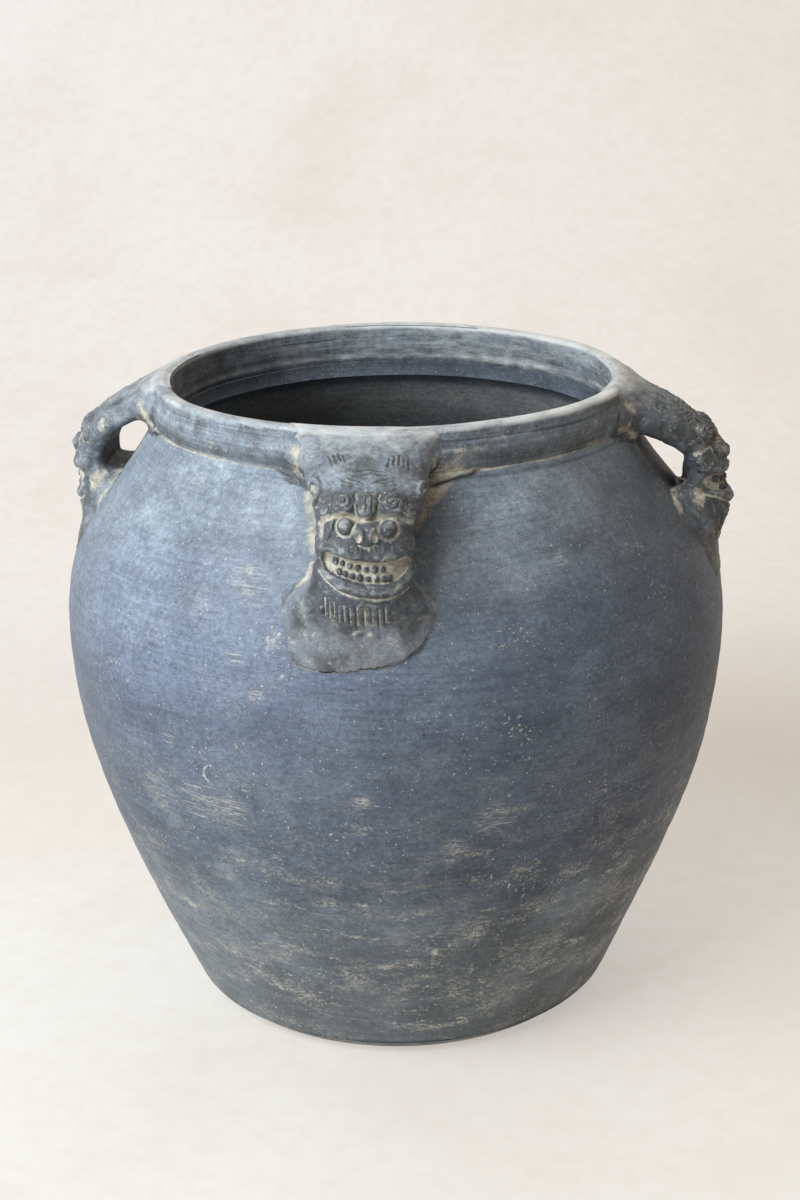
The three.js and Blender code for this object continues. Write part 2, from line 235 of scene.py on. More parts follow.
# Settings that many nodes share: a soft passage between two values, a mix of colours, and what two values make
SOFT = {"interpolation_type": "SMOOTHSTEP"}
COLOURS = {"data_type": "RGBA", "out": 2}
TIMES, PLUS, MINUS, MOST = ({"operation": name} for name in ("MULTIPLY", "ADD", "SUBTRACT", "MAXIMUM"))

# Smoked earthenware: open-bodied clay, burnished while leather hard and blackened by smoke in the kiln. It is a
# soft blue-grey with a dull sheen, clouded where the smoke took unevenly and wiped level while wet, and it holds
# pale earth in every recess, in patches over its lower third where it stood in soil, and in old scratches.

SMOKE_DARK = "#626b74"
SMOKE_MID = "#78828b"
SMOKE_PALE = "#99a2a8"
# Soot's colour, which also serves for painted shade
SOOT_AND_SHADE = "#40444a"
BURNISH = "#59647a"
INSIDE = "#8a8a84"
STAIN = "#3c3e39"
GRIME = "#968f7c"
EARTH = "#a3a199"
SOIL = "#63625c"
DUST = "#d3cdbb"
DULL_DUST = "#a8a291"
SCRATCH = "#d2cdbe"
CHALK = "#d9dcd9"
# Colour of cracks and pits, which also serves for a line of painted shade
CRACK_AND_SHADE_LINE = "#23221e"
PAINTED_HIGHLIGHT = (-86, -171, 319)  # the middle of a painted highlight on the left shoulder, which faces the window


def smoked_clay(name, streaks=1.0, grime=0.0, scraped=(), curl=None):
    """Streaks sets how much wiping shows and grime how much dust lies in the pores. Scraped lists scratched places,
    each a point and a reach in millimetres, and curl is one scratch that runs round a point at that reach."""
    material = bpy.data.materials.new(name)
    material.use_nodes = True
    tree = material.node_tree
    tree.nodes.clear()
    place = add(tree, "TexCoord", out="Object")
    across, _, height = add(tree, "SeparateXYZ", place, out=slice(None))
    soot_and_shade, inside, wear_and_light, dust_and_light, crack_and_shade_line = (
        add(tree, "Attribute", out="Fac", attribute_name=mark) for mark in ("soot_and_shade", "inside", "wear_and_light", "dust_and_light", "crack_and_shade_line")
    )

    def clouds(size, detail=3.0, level=1.0, rough=0.55, shift=0.0):
        """Clouds of that size in millimetres, drawn out along the level by that factor (or upright, below 1)."""
        around, up = 1000.0 / (size * max(level, 1)), 1000.0 / (size * max(1 / level, 1))
        moved = {"Vector": place, "Location": (shift, shift, shift), "Scale": (around, around, up)}
        kind = {"Vector": add(tree, "Mapping", moved), "Scale": 1.0, "Detail": detail, "Roughness": rough}
        return add(tree, "TexNoise", kind, out="Fac")

    def patches(cloud, low, high, weak=0.0, strong=1.0):
        """Clouds cut to patches, which begin where the cloud is at low and have their full strength at high."""
        return add(tree, "MapRange", clouds(*cloud), low, high, weak, strong, **SOFT)

    def coated(under, over, *shares):
        """A coat of colour over what is there, as strong as all its shares allow together."""
        amount = shares[0]
        for share in shares[1:]:
            amount = add(tree, "Math", amount, share, **TIMES)
        return add(tree, "Mix", {0: amount, 6: under, 7: linear(over)}, **COLOURS)

    # Smoke clouds a hand wide, with paler places, sooty patches that are strongest low down and gather on the right
    # side, away from the window, as painted shade, and a blue burnish over the belly.
    colour = coated(linear(SMOKE_DARK), SMOKE_MID, patches((110, 4, 1.2, 0.6), 0.36, 0.62))
    pale = patches((32, 6, 1.5, 0.66, 3.1), 0.48, 0.72, 0.0, 0.55)
    colour = coated(colour, SMOKE_PALE, pale)
    # Painted shade: the sooty patches gather on the right side, away from the window
    right_side_shade = add(tree, "MapRange", across, -0.06, 0.15, 0.1, 1.0, **SOFT)
    near_foot = add(tree, "MapRange", height, 0.36, 0.1, 0.65, 1.0, **SOFT)
    colour = coated(colour, SOOT_AND_SHADE, patches((64, 6, 1.3, 0.64, 21.3), 0.4, 0.6), right_side_shade, near_foot, 0.85)
    # Soot and painted shade, from each piece's mark of them
    colour = coated(colour, SOOT_AND_SHADE, soot_and_shade, 0.88)
    colour = coated(colour, INSIDE, inside, 0.85)
    above_foot = add(tree, "MapRange", height, 0.1, 0.17, **SOFT)
    below_neck = add(tree, "MapRange", height, 0.36, 0.26, 0.08, 0.5, **SOFT)
    colour = coated(colour, BURNISH, above_foot, below_neck)

    # Strokes of wiping, which run level, and of a stiff brush, which run down
    wiped = clouds(1.6, 3, 38, 0.6, 1.7)
    wiping = add(tree, "MapRange", wiped, 0.25, 0.75, -0.17, 0.17, **SOFT)
    strokes = add(tree, "Math", wiping, patches((2.2, 2, 1 / 25, 0.5, 5.3), 0.3, 0.7, -0.045, 0.045), **PLUS)
    strokes = add(tree, "Math", strokes, patches((50, 3, 1, 0.55, 11.4), 0.4, 0.62, 0.25, 1.0), **TIMES)
    strokes = add(tree, "Math", strokes, streaks, **TIMES)
    strokes = add(tree, "Math", strokes, 1.0, **PLUS)

    # How light the clay is. Each line follows one thing from one of its values to another, and there the tone goes
    # from one factor to another.
    fine_mottle = clouds(3.0, 5, 1.3, 0.72, 8.8)
    waver = add(tree, "Math", height, patches((60, 3, 1.6, 0.55, 36.1), 0.2, 0.8, -0.02, 0.02), **PLUS)
    belt = [add(tree, "MapRange", *limits, **SOFT) for limits in ((height, 0.1, 0.16), (waver, 0.275, 0.235))]
    belt = add(tree, "Math", *belt, **TIMES)
    highlight_middle = tuple(MM * v for v in PAINTED_HIGHLIGHT)
    off_highlight = add(tree, "VectorMath", place, highlight_middle, out="Value", operation="DISTANCE")
    tone = strokes
    for shade in (
        (fine_mottle, 0.28, 0.72, 0.74, 1.26),
        (clouds(1.1, 2), 0.2, 0.8, 0.8, 1.2),
        (clouds(22, 5, 1.3, 0.68, 44.4), 0.32, 0.68, 0.87, 1.13),
        (height, 0.07, 0.37, 0.94, 1.35),
        (height, 0.06, 0.0, 1.0, 1.2),
        # Painted shade: darker from the middle towards the right, away from the window, and at the far left edge
        (across, 0.12, 0.2, 1.0, 0.7),
        (across, -0.15, -0.2, 1.0, 0.88),
        (across, -0.09, 0.03, 1.0, 0.9),
        (belt, 0.0, 1.0, 1.0, 0.84),
        # Painted highlight: paler round a point on the left shoulder that faces the window
        (off_highlight, 0.14, 0.03, 1.0, 1.18),
        # The mark of soot and painted shade darkens the tone as well
        (soot_and_shade, 0.0, 1.0, 1.0, 0.7),
    ):
        tone = add(tree, "Math", tone, add(tree, "MapRange", *shade, **SOFT), **TIMES)
    colour = add(tree, "VectorMath", {0: colour, "Scale": tone}, operation="SCALE")

    # Earth on its lower third, in level patches of a fingertip's size that break up into powder
    powder = patches((1.7, 4, 1.3, 0.75, 4.4), 0.42, 0.58)
    low = add(tree, "MapRange", height, 0.26, 0.06, 0.05, 0.95, **SOFT)
    colour = coated(colour, SOIL, add(tree, "MapRange", height, 0.15, 0.0, 0.0, 0.3, **SOFT))
    colour = coated(colour, EARTH, patches((17, 6, 2.0, 0.76, 7.7), 0.46, 0.64), powder, low)
    colour = coated(colour, DUST, patches((9, 5, 2.6, 0.72, 27.7), 0.56, 0.68), powder, low)

    # Hairline scratches, gathered in places, and specks of lime and pits about a millimetre wide
    rubbing = patches((1.3, 3, 9, 0.6, 33.3), 0.4, 0.6)
    for broken in (powder, patches((9, 5, 2, 0.7, 30.3), 0.44, 0.58)):
        rubbing = add(tree, "Math", rubbing, broken, **TIMES)
    rubbing = add(tree, "Math", rubbing, patches((0.7, 3, 24, 0.6, 12.6), 0.53, 0.66), **MOST)
    found = patches((42, 3, 1.5, 0.55, 2.2), 0.6, 0.74, 0.0, 0.5)
    for *spot, reach in scraped:
        gap = add(tree, "VectorMath", place, tuple(MM * v for v in spot), out="Value", operation="DISTANCE")
        near = add(tree, "MapRange", gap, reach * MM, 0.4 * reach * MM, **SOFT)
        found = add(tree, "Math", found, near, **MOST)
    colour = coated(colour, SCRATCH, rubbing, found, 0.6)
    if curl:
        *spot, reach = curl
        gap = add(tree, "VectorMath", place, tuple(MM * v for v in spot), out="Value", operation="DISTANCE")
        off_line = add(tree, "Math", gap, reach * MM, **MINUS)
        off_line = add(tree, "Math", off_line, operation="ABSOLUTE")
        line = add(tree, "MapRange", off_line, 0.9 * MM, 0.2 * MM, **SOFT)
        half = add(tree, "MapRange", across, (spot[0] + 2) * MM, (spot[0] - 2) * MM, **SOFT)
        colour = coated(colour, SCRATCH, line, half, powder)
    gathered = patches((26, 4, 1.8, 0.6, 40.7), 0.5, 0.75, 0.0, 0.1)
    specks = add(tree, "Math", clouds(1.9, 1, 1, 0.55, 9.9), gathered, **PLUS)
    colour = coated(colour, SCRATCH, add(tree, "MapRange", specks, 0.71, 0.76, 0.0, 0.65, **SOFT))
    colour = coated(colour, CRACK_AND_SHADE_LINE, patches((2.8, 1, 1, 0.55, 14.2), 0.74, 0.77, 0.0, 0.5))
    if grime:
        on_pads = add(tree, "MapRange", height, 0.325, 0.3, 0.12 * grime, 0.5 * grime, **SOFT)
        colour = coated(colour, GRIME, on_pads)
        colour = coated(colour, DUST, patches((7, 5, 1, 0.72, 6.1), 0.5, 0.66), powder, grime)
        colour = coated(colour, STAIN, patches((13, 6, 1, 0.7, 24.6), 0.42, 0.68, 0.0, 1.5 * grime))

    # What each piece's own shape gathers: rubbed edges, dust in recesses and open cracks. Parts of these are painted
    # light and shade: the lip's top made paler towards the right, the pale wedge right of each strap, and a dark line
    # under each strap's root.
    uneven = add(tree, "Math", clouds(4, 6, 4, 0.76, 16.1), 1.2, **TIMES)
    rubbed_and_lit = add(tree, "Math", wear_and_light, uneven, **PLUS)
    # Rubbed wear, which on the lip's right is partly painted light
    colour = coated(colour, CHALK, add(tree, "MapRange", rubbed_and_lit, 0.72, 1.62, 0.0, 0.95, **SOFT))
    broken = add(tree, "Math", clouds(3.4, 6, 1, 0.8, 18.3), 1.6, **TIMES)
    # Pale dust, which in the wedge right of each strap is partly painted light
    dust_and_light_cover = add(tree, "MapRange", add(tree, "Math", dust_and_light, broken, **PLUS), 1.12, 1.6, 0.0, 0.95, **SOFT)
    dust_colour = coated(linear(DULL_DUST), DUST, patches((5, 5, 1, 0.7, 51.2), 0.38, 0.62))
    colour = add(tree, "Mix", {0: dust_and_light_cover, 6: colour, 7: dust_colour}, **COLOURS)
    # Open cracks and joints, and a dark line of painted shade under each strap's root
    colour = coated(colour, CRACK_AND_SHADE_LINE, crack_and_shade_line)

    # The skin: grain about a millimetre wide under a dull burnish, which dust takes away
    relief = [add(tree, "Math", *part, **TIMES) for part in ((fine_mottle, 0.6), (wiped, 0.35 * streaks))]
    relief = add(tree, "Math", *relief, **PLUS)
    bump = add(tree, "Bump", {"Height": relief, "Strength": 0.3, "Distance": 0.0009})
    burnish = add(tree, "MapRange", pale, 0.0, 0.5, 0.5, 0.6, **SOFT)
    dullness = add(tree, "Math", burnish, add(tree, "Math", dust_and_light_cover, 0.3, **TIMES), **PLUS)
    skin = {"Base Color": colour, "Roughness": dullness, "Normal": bump, "Specular IOR Level": 0.25}
    add(tree, "OutputMaterial", add(tree, "BsdfPrincipled", skin))
    return material


def thrown(points, radius, height):
    """What the wheel and the hand left: outside, faint ridges from the fingers; inside, which was never wiped smooth,
    ridges a finger apart and half a millimetre proud."""
    outside = 0.14 * ripple(points * (0.03, 0.03, 1), 11, 9) + 0.2 * ripple(points, 12, 60)
    inside = 0.4 * ripple(points * (0.04, 0.04, 1), 13, 17) + 0.35 * ripple(points, 14, 50)
    middle = np.where(height < NECK_HEIGHT, wall_radius(height) - 0.6 * WALL, NECK_RADIUS - WALL / 2)
    return np.where(radius > middle, outside, inside)


def cut_flat(points, radius, height):
    """The base was cut from a slab, so it has no ridges."""
    return np.zeros(len(points))


def beside_straps(points, radius, height, around):
    """Dust that drifted into the crook beside every strap, on the shoulder and up the collar. On the right of each
    strap the pale wedge also stands for light that comes through the hand gap, so there it is partly painted light.
    """
    along = np.abs(from_strap(around)) * radius
    below_neck = NECK_HEIGHT - 4.5 - height
    outer = np.where(from_strap(around) > 0, 50 - 0.9 * below_neck, 39 - 0.14 * below_neck)
    drifted_dust_and_light = smooth(along, 22, 29) * (1 - smooth(along, outer - 3, outer + 2))
    patchy = (0.8 + 0.2 * ripple(points, 24, 13)) * (0.62 + 0.38 * smooth(np.cos(around), 0.3, 0.9))
    return 0.9 * drifted_dust_and_light * patchy * smooth(height, 322, 345) * (1 - 0.3 * smooth(height, 378, 382)) * (height < 393)


def root_shade_line(points, radius, height, around):
    """A dark line painted under the root of every strap: painted shade where the upper corner of the hand gap lies in
    shadow.
    """
    along = np.abs(from_strap(around)) * radius + 4 * ripple(points, 26, 40)
    line = NECK_HEIGHT - 5.5 + 0.25 * (along - 36) + 0.6 * ripple(points, 27, 12)
    open_here = smooth(along, 31, 36) * (1 - smooth(along, 54, 66))
    return open_here * np.exp(-(((height - line) / 1.2) ** 2)) * ~is_inside(radius, height)


def recess_dust_and_light(lines, spread):
    """Dust along level lines of the wall, each line being (height, width, amount), on the outside only, and the dust
    beside the straps, which on their right is partly painted light.
    """

    def dust_and_light(points, radius, height, around):
        found = np.zeros(len(points))
        wander = 0.25 * ripple(points * (1, 1, 0), 21, 70)
        patchy = 0.65 + 0.45 * ripple(points * (1, 1, 0.2), 22, spread)
        for level, width, amount in lines:
            found += amount * patchy * np.exp(-(((height - level - wander) / width) ** 2))
        found = np.maximum(found, beside_straps(points, radius, height, around))
        return np.clip(found, 0, 1) * ~is_inside(radius, height)

    return dust_and_light


# The foot's skin gives the eye a matt, clouded blue-grey that ends in earth and powder at the ground
foot_clay = smoked_clay("smoked_earthenware_foot")
base_profile = fine(
    [
        (DRAIN_RADIUS, 0),
        (FOOT_RADIUS - 3, 0),
        (FOOT_RADIUS, 0.8),
        (wall_radius(BASE_EDGE) - 0.9, BASE_EDGE - 1),
        (wall_radius(BASE_EDGE) - 1.6, BASE_EDGE),
        (inner_radius(BASE_EDGE), BASE_EDGE),
        (inner_radius(BASE_EDGE), FLOOR_HEIGHT),
        (DRAIN_RADIUS + 1.5, FLOOR_HEIGHT),
        (DRAIN_RADIUS, FLOOR_HEIGHT - 1.5),
        (DRAIN_RADIUS, 0),
    ],
    3,
)
base = turned(
    "base_disc_clay",
    base_profile,
    foot_clay,
    cut_flat,
    {"dust_and_light": recess_dust_and_light([(0.2, 1.3, 0.9), (BASE_EDGE, 0.9, 0.35)], 50)},
)
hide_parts("base_disc")

# ---------------------------------------------------------------------------------------------------------------
# The lower wall: thick clay coiled on the base and thrown up to a little below the belly, wiped round with a wet
# hand. A faint line shows where the upper wall was added to it.

SEAM_HEIGHT = 188
JOINT_GAP = 0.3


def wall_profile(low, high, outer_step, inner_step):
    """The wall cut through between two heights, with points closer together outside than inside."""
    up = np.linspace(low, high, int((high - low) / outer_step))
    down = np.linspace(high, low, int((high - low) / inner_step))
    return np.vstack([np.stack([wall_radius(up), up], 1), np.stack([inner_radius(down), down], 1)])


def foot_crack(points, radius, height, around):
    """The joint on the base, which is open in some places and closed with clay in others."""
    return (height < BASE_EDGE + 1) * (0.5 + 0.35 * ripple(points, 28, 45))


# Where things have rubbed the wall, each as x, y, z and how far it reaches
OLD_SCRAPES = [
    (-66, -173, 327, 14), (-62, -179, 322, 13), (-50, -196, 299, 7), (-73, -193, 285, 9),
    (-60, -200, 268, 7), (-127, -160, 189, 18), (-99, -179, 192, 22), (-78, -189, 190, 15),
    (-2, -207, 208, 7), (73, -190, 189, 15), (51, -194, 172, 11), (-23, -187, 130, 9),
    (108, -147, 332, 6), (-117, -174, 231, 8),
]
OLD_CURL = (-89, -188, 212, 6.5)
# The wall's skin gives the eye level strokes of wiping over the smoke clouds, and old scrapes that show pale
wall_clay = smoked_clay("smoked_earthenware_wall", scraped=OLD_SCRAPES, curl=OLD_CURL)
lower_wall = turned(
    "lower_wall_clay",
    wall_profile(BASE_EDGE + JOINT_GAP, SEAM_HEIGHT, 2.4, 5),
    wall_clay,
    thrown,
    {
        "dust_and_light": recess_dust_and_light([(BASE_EDGE, 1.6, 0.5), (SEAM_HEIGHT, 0.7, 0.1)], 60),
        "crack_and_shade_line": foot_crack,
    },
)
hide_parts("lower_wall")

# ---------------------------------------------------------------------------------------------------------------
# The upper wall: belly and shoulder, thrown on the lower wall once that had stiffened. Near the neck the potter's
# tool left a shallow second groove under the main one.

GROOVES_FROM = NECK_HEIGHT - 14
upper_profile = wall_profile(SEAM_HEIGHT, GROOVES_FROM, 2.2, 5)
turn = len(upper_profile) - int((GROOVES_FROM - SEAM_HEIGHT) / 5)
neck_steps = np.linspace(GROOVES_FROM, NECK_HEIGHT, 22)[1:]
second_groove = 0.75 * np.exp(-(((neck_steps - NECK_HEIGHT + 5.2) / 1.1) ** 2))
swell_above = 0.8 * np.exp(-(((neck_steps - NECK_HEIGHT + 2.3) / 1.3) ** 2))
neck_outside = np.stack([wall_radius(neck_steps) - (second_groove - swell_above), neck_steps], 1)
neck_down = np.linspace(NECK_HEIGHT, GROOVES_FROM, 4)[:-1]
neck_inside = np.stack([np.minimum(inner_radius(neck_down - 0.6), NECK_RADIUS - WALL), neck_down], 1)
upper_profile = np.vstack([upper_profile[:turn], neck_outside, neck_inside, upper_profile[turn:]])
upper_wall = turned(
    "upper_wall_clay",
    upper_profile,
    wall_clay,
    thrown,
    {
        "dust_and_light": recess_dust_and_light([(SEAM_HEIGHT, 0.7, 0.1), (NECK_HEIGHT - 5.2, 0.7, 0.35), (NECK_HEIGHT, 1.2, 1.0)], 45),
        "crack_and_shade_line": root_shade_line,
    },
)
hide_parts("upper_wall")

# ---------------------------------------------------------------------------------------------------------------
# The collar: a short band raised on the neck groove, hollowed with a finger below and swelling to a faint ridge
# under the lip. Inside, it stands upright, with a small ledge where it meets the shoulder.

LIP_BOTTOM = 396.8
LIP_THICKNESS = 10.8
HOLLOW_HEIGHT = 383
RIDGE_HEIGHT = 391.2
MOUTH_RADIUS = NECK_RADIUS - WALL
rim_radius = MOUTH_RADIUS + LIP_THICKNESS


def inner_wear(points, radius, height, around):
    """Hands and a wiping cloth have left the mouth pale in patches, which are made palest towards the back right."""
    most = 0.3 + 0.3 * smooth(0.8 * points[:, 0] + 0.6 * points[:, 1], -70, 120)
    streaks = 0.75 + 0.2 * ripple(points * (0.4, 0.4, 4), 33, 40) + 0.1 * ripple(points * (0.6, 0.6, 8), 34, 18)
    return (radius < MOUTH_RADIUS + 2) * np.clip(most * streaks, 0, 1) * smooth(height, 376, 384)


collar_outside = bezier(
    [
        (NECK_RADIUS - 0.5, NECK_HEIGHT),
        (NECK_RADIUS + 0.4, HOLLOW_HEIGHT),
        (NECK_RADIUS + 3.4, 390),
        (rim_radius, LIP_BOTTOM),
    ],
    26,
)
collar_outside[:, 0] += 0.45 * np.exp(-(((collar_outside[:, 1] - RIDGE_HEIGHT) / 0.9) ** 2))
collar_inside = fine(
    [
        (MOUTH_RADIUS, LIP_BOTTOM),
        (MOUTH_RADIUS + 0.6, 386),
        (MOUTH_RADIUS - 0.8, 382.5),
        (MOUTH_RADIUS, NECK_HEIGHT),
    ],
    1.5,
)
# The neck's skin gives the eye hard level strokes and a dry look, since dust fills its pores
neck_clay = smoked_clay("smoked_earthenware_neck", 2.4, grime=0.35)
collar = turned(
    "collar_clay",
    np.vstack([collar_outside, collar_inside]),
    neck_clay,
    thrown,
    {
        "dust_and_light": recess_dust_and_light([(NECK_HEIGHT, 1.3, 1.0), (392.6, 0.8, 0.3), (387, 4, 0.25)], 30),
        "wear_and_light": lambda *where: 0.8 * inner_wear(*where),
    },
)
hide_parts("collar")

# ---------------------------------------------------------------------------------------------------------------
# The lip: a coil laid round the top of the collar and smoothed with wet leather. Hands have rubbed its top pale,
# and at the front right a crack runs under it where the coil has parted from the collar. Towards the right its top
# is made paler still as painted light.

LIP_ROUNDING = 3.4


def lip_corner(r, start):
    """A quarter of the lip's rounding about that radius, from that angle on."""
    angles = np.radians(np.linspace(start, start + 90, 7))
    height = RIM_HEIGHT - LIP_ROUNDING
    return [(r + LIP_ROUNDING * math.cos(a), height + LIP_ROUNDING * math.sin(a)) for a in angles]


lip_profile = fine(
    [
        (rim_radius, LIP_BOTTOM),
        *lip_corner(rim_radius - LIP_ROUNDING, 0),
        *lip_corner(MOUTH_RADIUS + LIP_ROUNDING, 90),
        (MOUTH_RADIUS, LIP_BOTTOM),
        (rim_radius, LIP_BOTTOM),
    ],
    1.2,
)


def lip_crack(points, radius, height, around):
    """The crack at the front right, from the handle's root on."""
    azimuth = np.degrees((around + np.pi) % (2 * np.pi) - np.pi)
    along = smooth(azimuth, 12, 16) * (1 - smooth(azimuth, 46, 56)) * (0.6 + 0.5 * ripple(points, 31, 14))
    under_lip = np.exp(-(((height - LIP_BOTTOM - 0.4) / 0.5) ** 2))
    return np.clip(along, 0, 1) * (radius > rim_radius - 1.2) * under_lip


def lip_wear_and_light(points, radius, height, around):
    """Hands have rubbed the top pale, and the inside as they did the collar's; towards the right the top is made
    paler as painted light.
    """
    # Painted light: the top is made paler towards the right
    most = 0.56 + 0.4 * smooth(points[:, 0] + 0.3 * points[:, 1], -60, 80)
    top = most * smooth(height, RIM_HEIGHT - 4.2, RIM_HEIGHT - 1) * (0.9 + 0.15 * ripple(points, 35, 30))
    return np.clip(np.maximum(top, 0.8 * inner_wear(points, radius, height, around)), 0, 1)


lip = turned(
    "lip_band_clay",
    lip_profile,
    neck_clay,
    lambda *where: 0.35 * ripple(where[0], 15, 40),
    {"crack_and_shade_line": lip_crack, "wear_and_light": lip_wear_and_light, "dust_and_light": recess_dust_and_light([(LIP_BOTTOM, 0.7, 0.4)], 25)},
)
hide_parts("lip_band")

# ---------------------------------------------------------------------------------------------------------------
# The handles: a strap of clay luted to the lip, bent over a hand gap and pressed onto the shoulder as a flared pad.
# The face of a guardian beast was pressed on it from a mould and retouched with a knife. Strap, pad and face are
# shaped here as one skin, because on the pot they were worked into each other.

PAD_THICKNESS = 15
CELL = 0.25  # spacing of the drawing that the face is carved from
VOXEL = 0.6  # spacing of the grid that a handle is shaped in
MIDDLE_RADIUS = 178
GRID_ASIDE, GRID_RADII, GRID_HEIGHTS = 62, (132, 219), (272, 409)  # what the grid spans
SLIP = 0.22  # thickness of the slip between strap and body

# The drawing of the face: x across it, y down the strap from the lip, both in millimetres
face_x = np.arange(-44, 44 + CELL, CELL)
face_y = np.arange(-8, 156 + CELL, CELL)
X, Y = np.meshgrid(face_x, face_y)
face_place = np.stack([X, Y, 0 * X], -1).reshape(-1, 3)


def ball(x, y, wide, tall, height, power=1.0):
    """A pellet pressed on the face. A greater power makes it more pointed."""
    inside = 1 - ((X - x) / wide) ** 2 - ((Y - y) / tall) ** 2
    return height * np.clip(inside, 0, 1) ** (0.5 * power)


def away(line):
    """Distance of every point of the drawing from a line of (x, y) points."""
    best = np.full(X.shape, 1e9)
    for (ax, ay), (bx, by) in zip(line, line[1:]):
        length = max((bx - ax) ** 2 + (by - ay) ** 2, 1e-9)
        t = np.clip(((X - ax) * (bx - ax) + (Y - ay) * (by - ay)) / length, 0, 1)
        best = np.minimum(best, np.hypot(X - ax - t * (bx - ax), Y - ay - t * (by - ay)))
    return best


def ridge(line, width, height):
    """A rounded roll of clay along a line, or a stroke where it is taken away."""
    return height * np.exp(-((away(line) / (width / 2)) ** 2) * 1.4)


def spiral(x, y, radius, turns, turn_way, start):
    """The line of a curl, which is a little wider than tall."""
    angles = np.linspace(0, turns * 2 * np.pi, int(26 * turns))
    reach = radius * (0.14 + 0.86 * angles / angles[-1])
    return list(zip(x + turn_way * reach * np.cos(angles + start), y + 0.85 * reach * np.sin(angles + start)))


def along_row(xs, ys, count=24):
    """A soft line through a few points given as their xs and ys."""
    dense = np.linspace(xs[0], xs[-1], count)
    return list(zip(dense, np.interp(dense, xs, ys)))


# The swell of the whole face: low at the forehead, full at the muzzle, gone at the pad
SWELL_AT = [0, 12, 24, 34, 42, 52, 60, 68, 76, 84, 92, 100, 108, 115, 122, 132]
SWELL = [0, 0.3, 1, 1.7, 2.4, 3.6, 4.8, 6.4, 8.0, 9.2, 9.7, 9.2, 6.6, 3.6, 1.4, 0.3]
side_fall = smooth(np.abs(X), 9, 32)
face = np.interp(Y, SWELL_AT, SWELL) * (1 - 0.72 * side_fall)
face -= 1.4 * smooth(np.abs(X), 21, 34) * smooth(Y, 20, 60) * (1 - smooth(Y, 98, 112))
dusty = np.zeros(X.shape)

# Forehead: two tufts of knife strokes, and wrinkles between them
for x, y, lean in [(-25, 19.5, 3.0), (-22.4, 18.4, 2.8), (-19.6, 18, 2.6), (-17, 18.6, 2.2)]:
    face -= ridge([(x, y), (x + lean, y + 6.5 + math.sin(3 * x))], 1.5, 1.15)
for x, y, lean in [(9.5, 21, -0.6), (12.2, 20, -0.2), (14.8, 20, 0.2), (17.4, 20.6, 0.5), (20, 22, 0.9)]:
    face -= ridge([(x, y + math.sin(2 * x)), (x + lean, y + 7.5 + 1.5 * math.sin(5 * x))], 1.4, 1.1)
for y, left, right, rise in [(30.6, -9, 7.5, 1.5), (33.8, -9.5, 9, 1.2)]:
    face -= ridge(along_row([left, (left + right) / 2, right], [y + rise, y, y + rise]), 1.4, 0.95)
for way in (-1, 1):
    for step in (0, 2.4, 4.8):
        low_end, high_end = (2.6 + step, 40.4 + step * 0.3), (11.4 + step, 36.6 + step * 0.9)
        face -= ridge([(way * x - 1, y) for x, y in (low_end, high_end)], 1.3, 0.95)

# Ears: cups with a rolled edge at the strap's sides, packed with pale dust
for x, y in [(-33.4, 42), (32.0, 41.5)]:
    rim = [(x + 4.4 * math.cos(a), y + 7.0 * math.sin(a)) for a in np.linspace(0, 2 * np.pi, 30)]
    face += ridge(rim, 3.8, 2.4)
    face -= ball(x, y, 3.0, 5.4, 1.5)
    dusty = np.maximum(dusty, 0.72 * (ball(x, y, 2.9, 4.8, 1.0) > 0.35))

# Brow: two large curls, a smaller one beside each, and between them a lobe with three strokes
for x, y, radius, way in [(-13.4, 52.4, 6.2, -1), (13.0, 52.2, 6.8, 1)]:
    face += ball(x, y, radius * 1.24, radius * 0.98, 3.9)
    face -= ridge(spiral(x, y, radius, 1.9, way, 0.6), 1.6, 1.15)
for x, y, radius, way in [(-24.8, 56.2, 4.4, -1), (24.4, 56.0, 4.2, 1)]:
    face += ball(x, y, radius * 1.15, radius * 1.1, 2.7)
    face -= ridge(spiral(x, y, radius * 0.85, 1.2, way, 2.0), 1.3, 0.9)
face += ball(-0.6, 54.2, 6.0, 7.6, 3.7)
for x in (-3.4, -0.4, 2.6):
    face -= ridge([(x, 49.4), (x + 0.2, 57.4)], 1.2, 1.05)
face -= ridge([(-6.9, 46.5), (-7.4, 53), (-5.8, 59.6), (-0.8, 62.2), (4.2, 60.6), (6.2, 53), (5.6, 47)], 1.7, 1.5)

# The hollow between brow and cheeks, where most of the dust lies, with a lid ridge beside the left eye
hollow = along_row(
    [-27, -23, -18, -12, -7, -2, 3, 8, 14, 19, 24],
    [62, 60, 59.4, 58.6, 60.4, 62.4, 61, 59.4, 59, 60.2, 61.6],
    40,
)
face -= ridge(hollow, 4.0, 2.3)
face -= ridge([(-25.5, 60), (-26, 66), (-26.5, 70)], 3.2, 1.8)
face += ridge([(-18.8, 61), (-19.4, 66), (-21.6, 70.5), (-25, 73.6)], 2.6, 1.7)
dusty = np.maximum(dusty, (0.72 - 0.006 * X) * np.exp(-((away(hollow) / 2.0) ** 4)))
dusty = np.maximum(dusty, 0.7 * np.exp(-((away([(-25.5, 60), (-26.2, 69)]) / 1.8) ** 4)))

